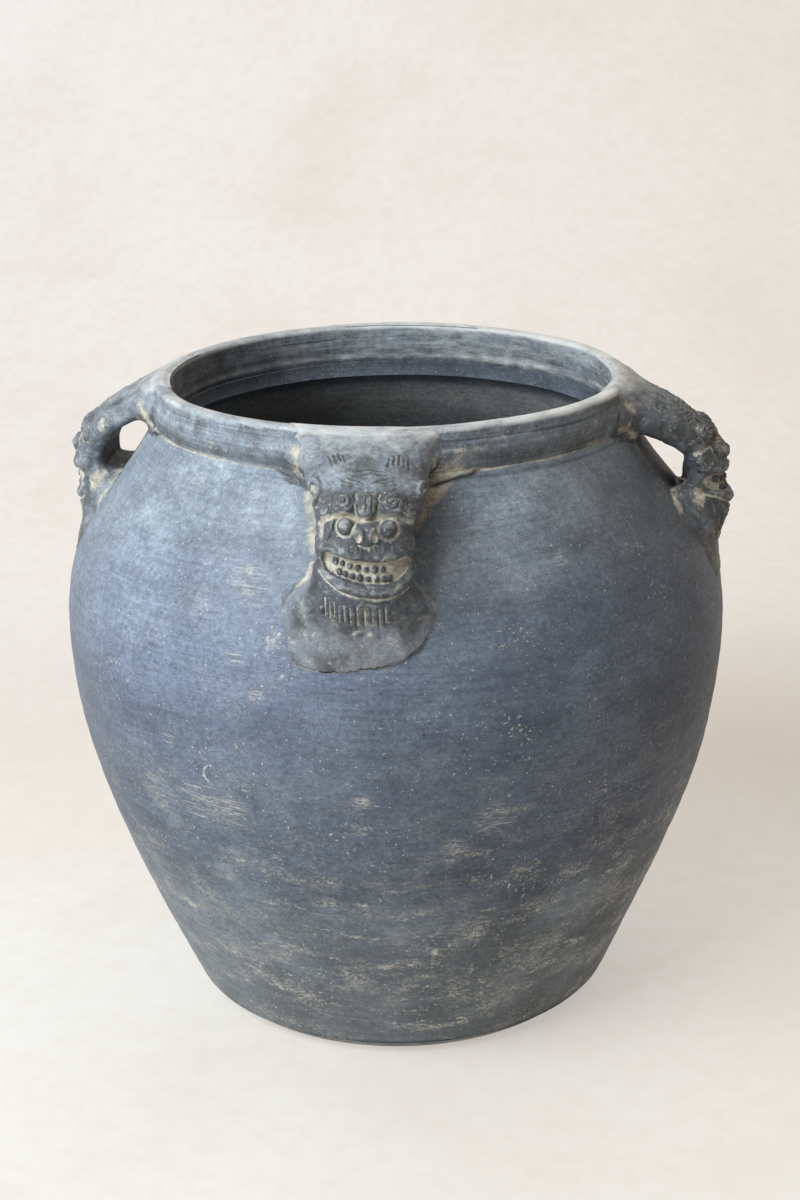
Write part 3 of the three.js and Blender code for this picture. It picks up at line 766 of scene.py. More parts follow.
# Eyes: balls in a dished ring; the nose between them, with drilled nostrils and round wings
for x, y in [(-11.6, 64.4), (11.4, 65.6)]:
    face -= ball(x, y, 7.0, 6.6, 2.5, 1.4)
    face += ball(x, y, 4.7, 4.6, 4.9, 0.9)
    ring = np.hypot((X - x), (Y - y) * 1.03)
    dusty = np.maximum(dusty, 0.68 * np.exp(-(((ring - 5.6) / 0.9) ** 4)))
face += ball(0.2, 67.0, 7.6, 6.2, 3.5, 0.8)
for x in (-3.9, 4.4):
    face += ball(x * 1.2, 68.8, 3.9, 3.6, 1.9)
    face -= ball(x, 70.0, 1.8, 1.7, 2.9)
    dusty = np.maximum(dusty, 0.95 * (ball(x, 70.0, 1.75, 1.65, 1.0) > 0.3))
for step in (0, 2.3, 4.6):
    face -= ridge([(25.2, 68.6 + step), (29.6, 66.4 + step * 1.2)], 1.1, 0.9)

# Mouth: a grin sunk into the muzzle, its ends turned up and round, with two rows of pellet teeth
MOUTH_AT = [-24, -16, -8, 0, 8, 16, 22]
MOUTH_LEVEL = [82.0, 84.2, 86.4, 87.8, 88.2, 86.9, 83.9]
UPPER_TEETH = [-17.2, -13.0, -8.9, -4.6, -0.2, 4.2, 8.6]
LOWER_TEETH = [-14.6, -11.4, -7.6, -3.5, 0.7, 5.0, 9.2, 12.0]
mouth_line = np.interp(X, MOUTH_AT, MOUTH_LEVEL)
mouth_half = np.interp(X, MOUTH_AT, [5.2, 5.9, 6.3, 6.5, 6.4, 6.1, 5.2])
mouth_end = np.sqrt(np.clip(1 - (np.maximum(np.abs(X + 0.8) / 24.4 - 0.8, 0) / 0.2) ** 2, 0, 1))
mouth_depth = mouth_half * mouth_end - np.abs(Y - mouth_line)
upper_lip = along_row([-27, -20, -12, -4, 4, 12, 20, 26], [76.4, 74.4, 75.4, 77.2, 78.2, 77.4, 75.6, 77])
face += ridge(upper_lip, 7.2, 2.0)
for x in np.arange(-15, 17, 2.3):
    face -= ridge([(x, 73.6 - 0.006 * x * x), (x * 1.02, 76 - 0.006 * x * x)], 1.0, 0.55)
face -= 3.6 * smooth(mouth_depth, -0.4, 1.3)
teeth = np.zeros(X.shape)
for below, row in ((-1.9, UPPER_TEETH), (3.1, LOWER_TEETH)):
    for x in row:
        y = np.interp(x, MOUTH_AT, MOUTH_LEVEL) + below
        size = 2.2 if x == UPPER_TEETH[0] else 1.7 + 0.2 * math.sin(5 * x)
        teeth = np.maximum(teeth, ball(x, y, size, size * 1.08, 2.4, 0.7))
face += teeth
dusty = np.maximum(dusty, smooth(mouth_depth, 0.5, 1.3) * (1 - smooth(teeth, 0.5, 1.3)))

# Lower lip: a roll with a double line under it; then the beard in knife strokes
face += ridge(along_row([-26, -16, -6, 2, 10, 18, 25], [88, 94.6, 97, 98.2, 98.2, 96.4, 90]), 5.2, 1.7)
under_lip = along_row([-27, -20, -13, -4, 4, 11, 18, 22], [88.8, 94.6, 98.8, 101.4, 102.4, 102.2, 100.2, 97.6])
face -= ridge(under_lip, 1.7, 1.6)
face -= ridge(along_row([-16, -8, 0, 8, 14], [101.6, 104, 105.2, 105.2, 103.8]), 1.3, 0.9)
dusty = np.maximum(dusty, 0.8 * np.exp(-((away(under_lip) / 0.9) ** 4)))
BEARD = [
    (-23.0, 1.6), (-20.4, 1.1), (-17.8, 1.2), (-15.2, 1.1), (-12.4, 1.3), (-9.2, 2.0),
    (-5.4, 2.2), (-1.4, 1.8), (2.6, 1.9), (6.4, 1.6), (9.6, 1.4),
]
for k, (x, width) in enumerate(BEARD):
    top = 107.4 - 4.4 * (x / 22) ** 2 + (1.0 if k % 2 else 0)
    stroke = [(x, top), (x * 1.02 + 0.2, top + 10.4 - (k % 3))]
    face -= ridge(stroke, width, 1.25)
    filled = 0.66 * (0.75 + 0.35 * math.sin(2.1 * k))
    dusty = np.maximum(dusty, filled * np.exp(-((away(stroke) / (0.4 * width)) ** 4)))

# The mould pressed it unevenly, and years of handling have pitted it
worked = smooth(Y, 6, 20) * (1 - smooth(Y, 118, 130))
face += 0.3 * ripple(face_place, 41, 9).reshape(X.shape) * (0.3 + 0.7 * worked)
face += 0.19 * ripple(face_place, 42, 3.4).reshape(X.shape) * (0.25 + 0.75 * worked)
face *= smooth(Y, 2, 12)
rough_patch = np.exp(-(((X + 2) / 15) ** 2) - ((Y - 124) / 7) ** 2)
face += 0.35 * ripple(face_place, 43, 4).reshape(X.shape) * rough_patch


def blurred(drawing, reach):
    """The drawing softened over that many millimetres."""
    half = max(1, int(round(reach / CELL)))
    for axis in (0, 1, 0, 1):
        width = [(half + 1, half) if k == axis else (0, 0) for k in (0, 1)]
        sums = np.cumsum(np.pad(drawing, width, mode="edge"), axis)
        size = drawing.shape[axis]
        high = np.take(sums, np.arange(size) + 2 * half + 1, axis)
        low = np.take(sums, np.arange(size), axis)
        drawing = (high - low) / (2 * half + 1)
    return drawing


# Dust lies in its recesses and its high places are rubbed; the face is darkened between brow and beard and on the
# teeth, and its fine strokes hold painted shade
close_recess = blurred(face, 1.0) - face
broad_recess = blurred(face, 3.6) - face
face_dust = np.maximum(smooth(close_recess, 0.2, 0.7) * 0.8, smooth(broad_recess, 0.7, 1.7) * 0.7)
face_dust *= (1 - smooth(-close_recess, 0.1, 0.5)) * (0.45 + 0.55 * smooth(Y, 36, 48))
face_dust = np.maximum(face_dust, dusty)
face_dust = np.maximum(face_dust, 0.6 * rough_patch * smooth(ripple(face_place, 45, 4).reshape(X.shape), -0.2, 1.2))
face_wear = smooth(-broad_recess, 0.5, 1.8) * 0.42
face_soot_and_shade = 0.86 * smooth(Y, 40, 50) * (1 - smooth(Y, 112, 126)) * (1 - smooth(np.abs(X), 30, 38)) * (1 - face_dust)
face_soot_and_shade = np.maximum(face_soot_and_shade, smooth(teeth, 0.3, 1.2))
# Painted shade in the fine strokes that dust doesn't fill
face_soot_and_shade = np.maximum(face_soot_and_shade, smooth(close_recess, 0.08, 0.34) * (1 - smooth(face_dust, 0.3, 0.6)))


def drawn(drawing, x, y):
    """The drawing's value at places in millimetres."""
    column = np.clip((x - face_x[0]) / CELL, 0, len(face_x) - 1.001)
    row = np.clip((y - face_y[0]) / CELL, 0, len(face_y) - 1.001)
    c, r = column.astype(np.int32), row.astype(np.int32)
    fc, fr = column - c, row - r
    top = drawing[r, c] * (1 - fc) + drawing[r, c + 1] * fc
    low = drawing[r + 1, c] * (1 - fc) + drawing[r + 1, c + 1] * fc
    return top * (1 - fr) + low * fr


def through(points, per_span=90):
    """A smooth line through the points."""
    padded = np.vstack([points[:1], points, points[-1:]])
    t = np.linspace(0, 1, per_span, endpoint=False)[:, None]
    spans = []
    for a, b, c, d in zip(padded, padded[1:], padded[2:], padded[3:]):
        va, vb = (c - a) / 2, (d - b) / 2
        spans.append((2 * b - 2 * c + va + vb) * t**3 + (3 * c - 3 * b - 2 * va - vb) * t**2 + va * t + b)
    return np.vstack([*spans, points[-1:]])


def nearest(line, places):
    """Index of the nearest point of a line for each place, a block at a time."""
    found = np.empty(len(places), np.int32)
    for start in range(0, len(places), 4000):
        block = places[start : start + 4000].astype(np.float32)
        gaps = (block[:, None, 0] - line[None, :, 0]) ** 2 + (block[:, None, 1] - line[None, :, 1]) ** 2
        found[start : start + 4000] = gaps.argmin(1)
    return found


def eased(table, values):
    """Values between the rows of a table, without its corners."""
    xs, ys = np.array(table, float).T
    dense = np.linspace(xs[0], xs[-1], 400)
    kernel = np.hanning(25)
    line = np.convolve(np.pad(np.interp(dense, xs, ys), 12, mode="edge"), kernel / kernel.sum(), "valid")
    return np.interp(values, dense, line).astype(np.float32)


def rounded_box(x, y, radius):
    """How far a place lies outside a bar, from how far it lies past the bar's two sides."""
    return np.minimum(np.maximum(x, y), 0) + np.hypot(np.maximum(x, 0), np.maximum(y, 0)) - radius


def melted(a, b, reach):
    """Two bodies of clay joined with a fillet, and how much clay the fillet adds."""
    slip = np.clip(reach - np.abs(a - b), 0, None) / reach
    return np.minimum(a, b) - slip**2 * reach / 4, slip


def skin(field, origin, step):
    """The surface where the field is zero, as points and faces of four corners."""
    inside = field < 0
    count = np.zeros(tuple(n - 1 for n in field.shape), np.uint8)
    for dx in (0, 1):
        for dy in (0, 1):
            for dz in (0, 1):
                count += inside[dx : dx + count.shape[0], dy : dy + count.shape[1], dz : dz + count.shape[2]]
    cells = np.argwhere((count > 0) & (count < 8))
    number = np.full(count.shape, -1, np.int32)
    number[tuple(cells.T)] = np.arange(len(cells))
    total, hits = np.zeros((len(cells), 3)), np.zeros(len(cells))
    units = np.eye(3, dtype=int)
    for axis in range(3):
        one, two = units[(axis + 1) % 3], units[(axis + 2) % 3]
        for start in (0 * one, one, two, one + two):
            a = field[tuple((cells + start).T)]
            b = field[tuple((cells + start + units[axis]).T)]
            cut = (a < 0) != (b < 0)
            total[cut] += start + units[axis] * (a[cut] / (a[cut] - b[cut]))[:, None]
            hits[cut] += 1
    points = (total / hits[:, None] + cells) * step + origin
    faces = []
    for axis in range(3):
        low, high = [slice(1, -1)] * 3, [slice(1, -1)] * 3
        low[axis], high[axis] = slice(0, -1), slice(1, None)
        edges = np.argwhere(inside[tuple(low)] != inside[tuple(high)])
        leaving = inside[tuple(low)][tuple(edges.T)]
        edges += 1 - units[axis]
        one, two = units[(axis + 1) % 3], units[(axis + 2) % 3]
        quads = np.stack([number[tuple((edges - back).T)] for back in (one + two, two, 0 * one, one)], 1)
        quads[~leaving] = quads[~leaving][:, ::-1]
        faces.append(quads)
    return points, np.vstack(faces)


# The grid that every handle is shaped in: turn round the pot, radius and height
spread = np.arange(-GRID_ASIDE, GRID_ASIDE + VOXEL, VOXEL, dtype=np.float32) / MIDDLE_RADIUS
radii = np.arange(*GRID_RADII, VOXEL, dtype=np.float32)
heights = np.arange(*GRID_HEIGHTS, VOXEL, dtype=np.float32)
R, Z = np.meshgrid(radii, heights, indexing="ij")
side_view = np.stack([R, Z], -1).reshape(-1, 2)
grid_origin = np.array([spread[0], radii[0], heights[0]])
grid_step = np.array([VOXEL / MIDDLE_RADIUS, VOXEL, VOXEL])

# How far every place of the grid lies outside the pot's body, which the straps are luted to
body_line = fine(
    [
        *map(tuple, outline[outline[:, 1] > 240]),
        *map(tuple, collar_outside),
        (rim_radius, LIP_BOTTOM),
        *lip_corner(rim_radius - LIP_ROUNDING, 0),
        (MOUTH_RADIUS, RIM_HEIGHT),
    ],
    0.8,
)
to_body = np.hypot(*(side_view - body_line[nearest(body_line, side_view)]).T).reshape(R.shape)
buried = (R < np.interp(Z, body_line[:, 1], body_line[:, 0])) & (Z < RIM_HEIGHT)
to_body = np.where(buried, -to_body, to_body).astype(np.float32)

# Half widths of the strap left and right of its middle, down its length, and the pad's lower edge across it
STRAP_LEFT = [
    (-8, 47), (2, 41), (12, 35.5), (25, 34), (34, 32), (41, 31.5), (50, 28.5),
    (62, 26.8), (74, 26.5), (84, 25.5), (94, 28.5), (103, 36), (115, 40), (150, 41),
]
STRAP_RIGHT = [
    (-8, 48), (2, 41), (12, 34.5), (25, 33.5), (34, 35), (41, 37), (50, 33.5),
    (62, 31), (74, 30), (84, 29), (96, 29.5), (106, 35), (114, 39.5), (150, 39),
]
PAD_END = [
    (-62, 128), (-46, 136), (-40, 142), (-34, 145), (-17, 145.6),
    (0, 144.6), (19, 140.6), (33, 132), (42, 122), (62, 104),
]
STRAP_ROUNDING = 5.4


def ragged_by(places, seed, wavelength):
    """Unevenness along a line of places in millimetres."""
    return ripple(np.stack([places, 0 * places, 0 * places], -1), seed, wavelength, 6)


def handle_skin(
    aside, lower, proud, thick, thicker, shut, slant, flare, stand, pad, fade, web, crisp, darkening, spot, seed
):
    """One handle as points (turn, radius, height), faces and marks. Its face sits aside and lower on the strap
    and as proud as asked. The strap is thick at its root and thicker by that much at its bend; the gap under it
    shuts that far down, on a slant, and the clay flares on the wall from flare down; stand and pad move the
    muzzle and the pad off the wall, and the pad thins from fade down. Web fills under the root, crisp takes the
    fillet from its right side, smoke is how strongly darkening and painted shade lie on its face, and spot is where
    its flank holds most dust."""
    strap_line = through(
        np.array(
            [
                (rim_radius - 1, RIM_HEIGHT - 1.5),
                (rim_radius + 11, RIM_HEIGHT - 6.5),
                (rim_radius + 35, RIM_HEIGHT - 22),
                (rim_radius + 49.5 + 0.15 * stand, RIM_HEIGHT - 41),
                (wall_radius(RIM_HEIGHT - 57) + 31 + 0.4 * stand, RIM_HEIGHT - 57),
                (wall_radius(RIM_HEIGHT - 85) + 12.5 + stand, RIM_HEIGHT - 85),
                (wall_radius(RIM_HEIGHT - 103) + 4.6 + pad, RIM_HEIGHT - 103),
                (wall_radius(RIM_HEIGHT - 119) + 1.4, RIM_HEIGHT - 119),
            ]
        )
    )
    strap_run = np.r_[0, np.cumsum(np.hypot(*np.diff(strap_line, axis=0).T))]
    way = np.gradient(strap_line, axis=0)
    way /= np.hypot(*way.T)[:, None]
    closest = nearest(strap_line, side_view)
    offset = side_view - strap_line[closest]
    down = (strap_run[closest] + (offset * way[closest]).sum(1)).reshape(R.shape).astype(np.float32)
    lift = offset[:, 1] * way[closest][:, 0] - offset[:, 0] * way[closest][:, 1]
    lift = lift.reshape(R.shape).astype(np.float32)
    foot_radius = strap_line[closest, 0].reshape(R.shape).astype(np.float32)

    across = spread[:, None, None] * foot_radius[None]
    left_edge, right_edge = eased(STRAP_LEFT, down), eased(STRAP_RIGHT, down)
    half, centre = (left_edge + right_edge) / 2, (right_edge - left_edge) / 2
    half = half + 0.2 * np.clip(-lift, 0, 22) * (1 - smooth(down, 88, 100)).astype(np.float32)
    waist = (smooth(down, 30, 44) * (1 - smooth(down, 78, 90))).astype(np.float32)
    half = half - 0.5 * np.clip(-lift - 4, 0, 14) * waist
    half = half + 0.045 * np.clip(-lift, 0, 17) ** 2 * smooth(down, flare, flare + 13).astype(np.float32)
    flank_place = np.stack([down, lift, 0 * down], -1).reshape(-1, 3)
    lumps = (0.7 * ripple(flank_place, seed + 7, 15) + 0.35 * ripple(flank_place, seed + 8, 6)).reshape(R.shape)
    half = half + (lumps * smooth(down, 20, 40) * (1 - smooth(down, 100, 112))).astype(np.float32)
    root = (1 - smooth(down, 6, 34)).astype(np.float32)
    thickness = thick + thicker * smooth(down, 44, 66).astype(np.float32) + web * root
    closing = smooth(down[None] - slant * across, shut, shut + 11).astype(np.float32)
    thickness = thickness[None] + PAD_THICKNESS * closing
    aside_share = np.abs(across - centre) / half
    carved = np.zeros(across.shape, np.float32)
    place = np.nonzero(np.broadcast_to((lift > -18) & (lift < 16), across.shape) & (np.abs(across) < 48))
    fading = proud * smooth(lift[place[1:]], -17, -9)
    carved[place] = fading * drawn(face, across[place] - aside, down[place[1:]] - lower)
    dome = 5.5 * np.clip(aside_share, 0, 1.1) ** 2.4 * (smooth(down, 4, 18) * (1 - smooth(down, 100, 112)))[None]
    bulk = rounded_box(
        np.abs(across - centre) - half + STRAP_ROUNDING,
        np.maximum(lift[None] - carved + dome.astype(np.float32), -(lift[None] + thickness)) + STRAP_ROUNDING,
        STRAP_ROUNDING,
    )
    # The pad thins to a feather at its sides, and ends below in a ragged edge a millimetre or two thick
    cap = 1.1 + 17 * (1 - smooth(aside_share, 0.25, 1.0)) + 42 * (1 - smooth(down, fade, fade + 34))
    bulk = -melted(-bulk, -(to_body[None] - cap.astype(np.float32)), 4.0)[0]
    edge_table = np.linspace(-80, 80, 641)
    ragged = eased(PAD_END, edge_table) + 0.7 * ragged_by(edge_table, seed, 11)
    ragged = ragged + 0.35 * ragged_by(edge_table, seed + 1, 4)
    pad_end = np.interp(across.ravel(), edge_table, ragged).reshape(across.shape).astype(np.float32) + lower * 0.3
    past_end = np.maximum(down[None] - pad_end, -6 - down[None])
    strap_field = -melted(-bulk, -past_end, 2.4)[0]

    # It was luted with slip smoothed by a finger: much at the root, little at the pad's lower edge, where it cracked
    near_end = smooth(down[None] - pad_end, -14, -3)
    reach = 6.5 + 17 * root * (1 - smooth(Z, 390, 399)) - 3 * smooth(Z, 396, 402)
    reach = reach[None] * (1 - crisp * smooth(across, 8, 26)) * (1 - near_end) + 1.2 * near_end
    reach = np.maximum(reach, 1.0).astype(np.float32)
    field, slip = melted(strap_field, np.broadcast_to(to_body + SLIP, strap_field.shape), reach)

    places, faces = skin(field, grid_origin, grid_step)
    last = np.array(field.shape) - 1
    cell = tuple(np.clip(np.round((places - grid_origin) / grid_step).astype(int), 0, last).T)
    beside = cell[1:]
    deep = to_body[beside]
    # Only the strap's own skin and its fillets are kept, not the body's
    kept = (((strap_field[cell] < reach[cell] * 1.05) & (deep > -1.2)) | (deep > 0.5))[faces].all(1)
    faces = faces[kept]
    used = np.unique(faces)
    renumber = np.full(len(places), -1)
    renumber[used] = np.arange(len(used))
    faces, places = renumber[faces], places[used]
    cell = tuple(c[used] for c in cell)
    beside = cell[1:]

    run, out = down[beside], lift[beside]
    across_here = places[:, 0] * foot_radius[beside]
    on_face = smooth(out + dome[cell], -5, -2)
    flat_place = np.stack([across_here, out, run], 1)
    gathered = drawn(face_dust, across_here - aside, run - lower) * on_face
    crease = slip[cell] ** 2 * (1 - 0.8 * smooth(run, 96, 106)) * (1 - smooth(Z[beside], 394, 400))
    crease *= 0.6 + 0.4 * ripple(flat_place, seed + 5, 22)
    flank = 0.3 * smooth(-out, 4, 10) * smooth(ripple(flat_place, seed + 2, 11), 0.1, 1.5)
    flank += 0.85 * np.exp(-(((across_here - spot[0]) / 6) ** 2) - ((run - spot[1]) / 9) ** 2) * smooth(-out, 2, 6)
    near_lip = 0.45 * (1 - smooth(run, 2, 30)) + 0.2 * (1 - smooth(run, 0, 6))
    below = run - pad_end[cell]
    crack_and_shade_line = np.exp(-(((below + 0.5) / 0.5) ** 2)) * smooth(0.6 * ripple(flat_place, seed + 3, 16) + 0.5, 0.2, 0.7)
    chalk = 1.5 * np.exp(-(((below - 0.7) / 0.8) ** 2)) * smooth(ripple(flat_place, seed + 4, 20), -0.8, 0.4)
    marks = {
        "dust_and_light": np.clip(gathered + crease + flank, 0, 1) + chalk * smooth(run, 112, 120),
        "wear_and_light": (drawn(face_wear, across_here - aside, run - lower) + near_lip) * on_face,
        "crack_and_shade_line": crack_and_shade_line * smooth(run, 112, 118),
        "soot_and_shade": np.maximum(
            darkening * drawn(face_soot_and_shade, across_here - aside, run - lower) * on_face,
            # Painted shade on the strap's underside, over the hand gap
            0.8 * smooth(-out, thick - 5, thick) * (1 - smooth(run, 84, 94)),
        ),
    }
    return places, faces, marks


# Each was bent and pressed by hand, so no two are alike
HANDLES = {
    "front": dict(
        aside=4.5, lower=0, proud=1.0, thick=16, thicker=0, shut=84, slant=0, flare=97,
        stand=0, pad=0, fade=88, web=4, crisp=0.7, darkening=1.0, spot=(-37, 93), seed=100,
    ),
    "right": dict(
        aside=-2, lower=5, proud=1.05, thick=20, thicker=-5, shut=90, slant=0.25, flare=83,
        stand=0.5, pad=-1, fade=88, web=3, crisp=0, darkening=0.8, spot=(-31, 97), seed=110,
    ),
    "back": dict(
        aside=2, lower=-1, proud=0.85, thick=16, thicker=0, shut=83, slant=0, flare=94,
        stand=-1, pad=-1, fade=86, web=4, crisp=0.3, darkening=0.7, spot=(24, 96), seed=120,
    ),
    "left": dict(
        aside=1, lower=3, proud=0.75, thick=15, thicker=1, shut=80, slant=0, flare=88,
        stand=-7.5, pad=-4, fade=76, web=3, crisp=0, darkening=0.4, spot=(27, 92), seed=130,
    ),
}
# The pressed skin is hardly stroked, so that it gives the eye darkening, painted shade and pale dust and the face
# between them
handle_clay = smoked_clay("smoked_earthenware_pressed", 0.4, grime=0.5)
for quarter, (side, bent) in enumerate(HANDLES.items()):
    places, faces, marks = handle_skin(**bent)
    turned_by = places[:, 0] + quarter * np.pi / 2
    points = np.stack([places[:, 1] * np.sin(turned_by), -places[:, 1] * np.cos(turned_by), places[:, 2]], 1)
    handle = mesh_piece(f"mask_handle_{side}", hand_shaped(points), faces, handle_clay, marks, corner=75)
    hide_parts(f"handle_{side}", f"mask_{side}")

# ---------------------------------------------------------------------------------------------------------------
# Luting clay: wads of soft clay thumbed into the two corners of each hand gap. They took less smoke than the rest
# and hold pale dust.

UPPER_CORNER = (151.5, 381)  # radius and height
LOWER_CORNER = (180, 329)
WAD_DUST = 0.36
# Thumbed clay gives the eye a rough, dry skin without strokes, lighter than the wall beside it
luting_clay = smoked_clay("luting_clay_dusty", 0.2, grime=0.5)


def wad(name, corner, half_length, thick, seed, quarter):
    """A wad of clay rolled between the hands, laid along the wall in a corner of the gap."""
    radius, height = corner
    rings, sides = 28, 20
    along = np.cos(np.linspace(0, np.pi, rings))[:, None]
    girth = np.sqrt(1 - along**2)
    round_it = np.linspace(0, 2 * np.pi, sides, endpoint=False)[None]
    grid = np.stack(np.broadcast_arrays(along, girth * np.cos(round_it), girth * np.sin(round_it)), -1)
    flat_grid = grid[1:-1].reshape(-1, 3)
    shape = np.vstack([[(1, 0, 0)], flat_grid, [(-1, 0, 0)]])
    shape = shape * (1 + 0.12 * ripple(shape * (20, 20, 20), seed, 14))[:, None]
    r = radius + thick * shape[:, 1]
    turn_to = half_length * shape[:, 0] / radius + quarter * np.pi / 2
    points = np.stack([r * np.sin(turn_to), -r * np.cos(turn_to), height + thick * shape[:, 2]], 1)
    quads, last = [], len(shape) - 1
    for i in range(rings - 3):
        for j in range(sides):
            a, b = 1 + i * sides + j, 1 + i * sides + (j + 1) % sides
            quads.append((a, b, b + sides, a + sides))
    for j in range(sides):
        a, b = 1 + j, 1 + (j + 1) % sides
        quads.append((0, 0, b, a))
        c = 1 + (rings - 3) * sides
        quads.append((last, last, c + j, c + (j + 1) % sides))
    full = np.array([q for q in quads if len(set(q)) == 4])
    ends = [[q[0], q[2], q[3]] for q in quads if len(set(q)) == 3]
    mesh = bpy.data.meshes.new(name)
    mesh.from_pydata((hand_shaped(points) * MM).tolist(), [], full.tolist() + ends)
    mesh.polygons.foreach_set("use_smooth", np.ones(len(mesh.polygons), bool))
    attribute = mesh.attributes.new("dust_and_light", "FLOAT", "POINT")
    attribute.data.foreach_set("value", np.full(len(points), WAD_DUST, np.float32))
    mesh.materials.append(luting_clay)
    piece = bpy.data.objects.new(name, mesh)
    bpy.context.scene.collection.objects.link(piece)
    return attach(piece, "root")


for quarter, side in enumerate(HANDLES):
    upper = wad(f"upper_luting_{side}", UPPER_CORNER, 25, 6, 61 + quarter, quarter)
    lower = wad(f"lower_luting_{side}", LOWER_CORNER, 22, 6.5, 71 + quarter, quarter)
    for piece, level in ((upper, "upper"), (lower, "lower")):
        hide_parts(f"{level}_fillet_{side}")

# ---------------------------------------------------------------------------------------------------------------
# The room: a pale limewashed floor that sweeps up into a wall, one large window to the left and soft light from
# the rest of the room. The camera stands where the photographer's did. From behind, floor and wall are clear, so
# that they don't hide the pot.

FLOOR_COLOUR = "#faf9f4"
WALL_COLOUR = "#fefbf7"
# Stains and painted shade on the floor share the stain colour; the bend's painted shade has the next one
STAIN_AND_SHADE_COLOUR = "#e6d7c6"
BEND_SHADE_COLOUR = "#b09a7c"
ROOM_SHADE = "#f6e6d6"
FLOOR_FRONT, BEND_START, BEND_RADIUS = -2.2, 0.75, 1.1  # these sizes are in metres
WALL_HEIGHT, HALF_WIDTH = 3.4, 3.2
CAMERA_PLACE = (0.1196, -1.2195, 0.6927)
CAMERA_DOWN, CAMERA_ROLL, CAMERA_YAW = math.radians(19.73), math.radians(-0.89), math.radians(-5.48)

bend_at = np.radians(np.linspace(0, 90, 40))
sweep_line = [(FLOOR_FRONT, 0)]
sweep_line += [(BEND_START + BEND_RADIUS * math.sin(a), BEND_RADIUS * (1 - math.cos(a))) for a in bend_at]
sweep_line.append((BEND_START + BEND_RADIUS, WALL_HEIGHT))
sweep_mesh = bpy.data.meshes.new("floor_sweep")
rows = [[(x, y, z) for x in (-HALF_WIDTH, HALF_WIDTH)] for y, z in sweep_line]
sweep_mesh.from_pydata(
    [p for row in rows for p in row], [], [(2 * i, 2 * i + 1, 2 * i + 3, 2 * i + 2) for i in range(len(rows) - 1)]
)
sweep_mesh.polygons.foreach_set("use_smooth", np.ones(len(sweep_mesh.polygons), bool))
floor = bpy.data.objects.new("floor_sweep", sweep_mesh)
bpy.context.scene.collection.objects.link(floor)


def looked_at(tree):
    """One for rays from the camera and for those that a gloss or glass sends on, which see the room at its own
    tone."""
    straight, glossed, through_glass = (
        add(tree, "LightPath", out=f"Is {ray} Ray") for ray in ("Camera", "Glossy", "Transmission")
    )
    return add(tree, "Math", add(tree, "Math", straight, glossed, **MOST), through_glass, **MOST)


# Limewash gives the eye a chalky near-white, a little stained, with painted shade that darkens it towards the
# right, away from the window, and browns the bend where the floor turns up into the wall, most on the right
limewash = bpy.data.materials.new("limewash_floor")
limewash.use_nodes = True
tree = limewash.node_tree
tree.nodes.clear()
room_place = add(tree, "TexCoord", out="Object")
sideways, depth, _ = add(tree, "SeparateXYZ", room_place, out=slice(None))
off_bend = add(tree, "Math", add(tree, "Math", depth, 0.42, **MINUS), operation="ABSOLUTE")
bend_shade = add(tree, "MapRange", off_bend, 0.42, 0.0, **SOFT)
shade_to_the_right = add(tree, "MapRange", sideways, -0.6, 0.6, 0.13, 0.28)
washes_and_shades = [
    (add(tree, "MapRange", depth, 0.0, 0.9), WALL_COLOUR),
    # Painted shade: darker towards the right, away from the window
    (add(tree, "MapRange", sideways, -0.7, 1.1, 0.0, 0.45), STAIN_AND_SHADE_COLOUR),
    # Painted shade in the bend, strongest on the right, where the pot's shadow falls
    (add(tree, "Math", bend_shade, shade_to_the_right, **TIMES), BEND_SHADE_COLOUR),
]
for scale, low, high, strength in ((2.6, 0.42, 0.7, 0.3), (60.0, 0.4, 0.7, 0.16)):
    kind = {"Vector": room_place, "Scale": scale, "Detail": 7.0, "Roughness": 0.62}
    cloud = add(tree, "TexNoise", kind, out="Fac")
    washes_and_shades.append((add(tree, "MapRange", cloud, low, high, 0.0, strength, **SOFT), STAIN_AND_SHADE_COLOUR))
tint = linear(FLOOR_COLOUR)
for amount, layer_colour in washes_and_shades:
    tint = add(tree, "Mix", {0: amount, 6: tint, 7: linear(layer_colour)}, **COLOURS)
chalky = add(tree, "BsdfPrincipled", {"Base Color": tint, "Roughness": 0.9, "Specular IOR Level": 0.2})
glow = add(tree, "Emission", tint, 1.0)
shown = add(tree, "MixShader", add(tree, "Math", looked_at(tree), 0.55, **TIMES), chalky, glow)
behind = add(tree, "NewGeometry", out="Backfacing")
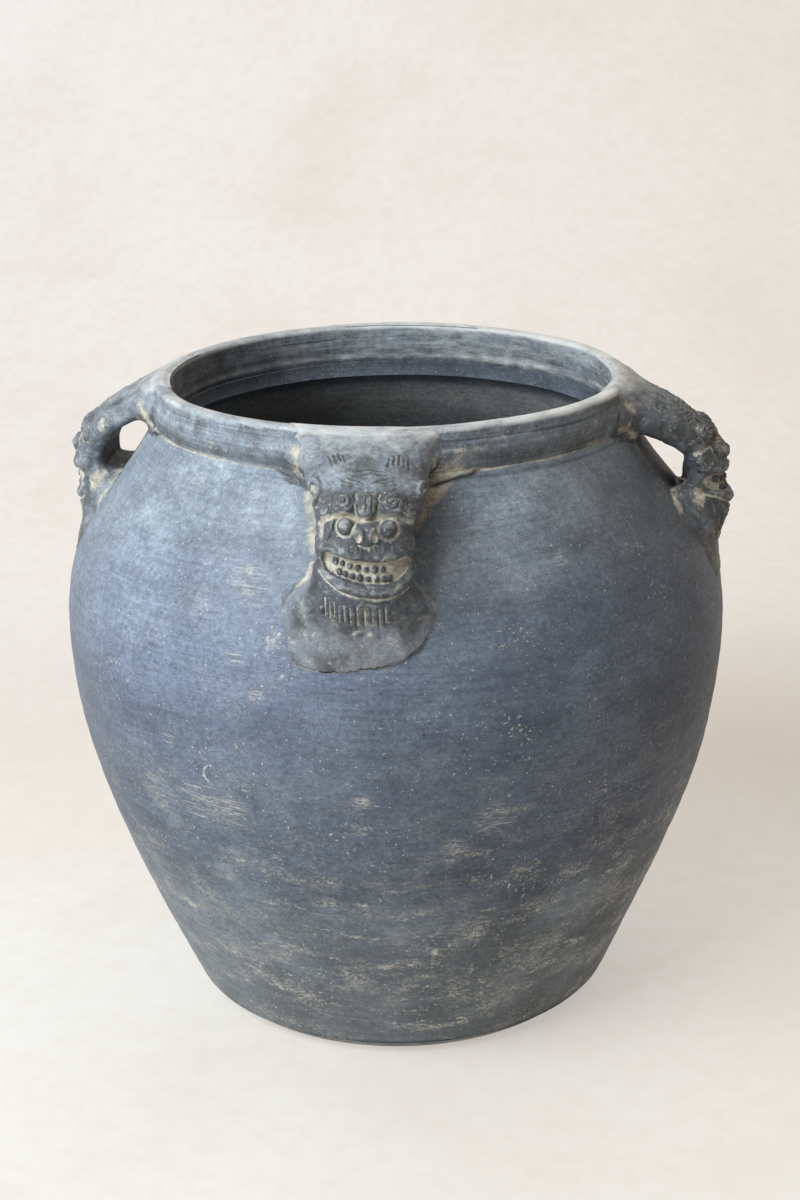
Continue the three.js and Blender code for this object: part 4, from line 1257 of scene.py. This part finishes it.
add(tree, "OutputMaterial", add(tree, "MixShader", behind, shown, add(tree, "BsdfTransparent")))
sweep_mesh.materials.append(limewash)


def lamp(name, place, target, size, power, colour):
    """A soft light as wide and high as that, in metres, which faces its target."""
    light = bpy.data.lights.new(name, "AREA")
    light.shape = "RECTANGLE"
    light.size, light.size_y = size
    light.energy = power
    light.color = linear(colour)[:3]
    holder = bpy.data.objects.new(name, light)
    holder.location = place
    holder.rotation_euler = (Vector(target) - Vector(place)).to_track_quat("-Z", "Y").to_euler()
    bpy.context.scene.collection.objects.link(holder)


lamp("window", (-1.25, -1.25, 1.6), (0, 0, 0.25), (1.6, 1.6), 64, "#f0f8ff")
lamp("room_above", (0.2, 0.1, 2.4), (0, 0, 0.3), (2.0, 2.0), 14, "#fff0de")
lamp("far_window", (1.5, 1.0, 1.9), (0.3, 0.3, 0.1), (1.3, 1.3), 3, "#ffe8cf")

world = bpy.data.worlds.new("room_light")
bpy.context.scene.world = world
world.use_nodes = True
tree = world.node_tree
tree.nodes.clear()
dim = add(tree, "Background", linear(ROOM_SHADE), 0.06)
bright = add(tree, "Background", linear(WALL_COLOUR), 1.0)
add(tree, "OutputWorld", add(tree, "MixShader", looked_at(tree), dim, bright))

camera_data = bpy.data.cameras.new("camera")
camera_data.lens = 60
camera_data.sensor_width = 36
camera = bpy.data.objects.new("camera", camera_data)
bpy.context.scene.collection.objects.link(camera)
forward = Vector(
    (
        math.sin(CAMERA_YAW) * math.cos(CAMERA_DOWN),
        math.cos(CAMERA_YAW) * math.cos(CAMERA_DOWN),
        -math.sin(CAMERA_DOWN),
    )
)
level_right = forward.cross(Vector((0, 0, 1))).normalized()
level_up = level_right.cross(forward)
right = math.cos(CAMERA_ROLL) * level_right + math.sin(CAMERA_ROLL) * level_up
up = -math.sin(CAMERA_ROLL) * level_right + math.cos(CAMERA_ROLL) * level_up
facing = Matrix((right, up, -forward)).transposed().to_4x4()
camera.matrix_world = Matrix.Translation(CAMERA_PLACE) @ facing
bpy.context.scene.camera = camera
bpy.context.scene.view_settings.view_transform = "Standard"
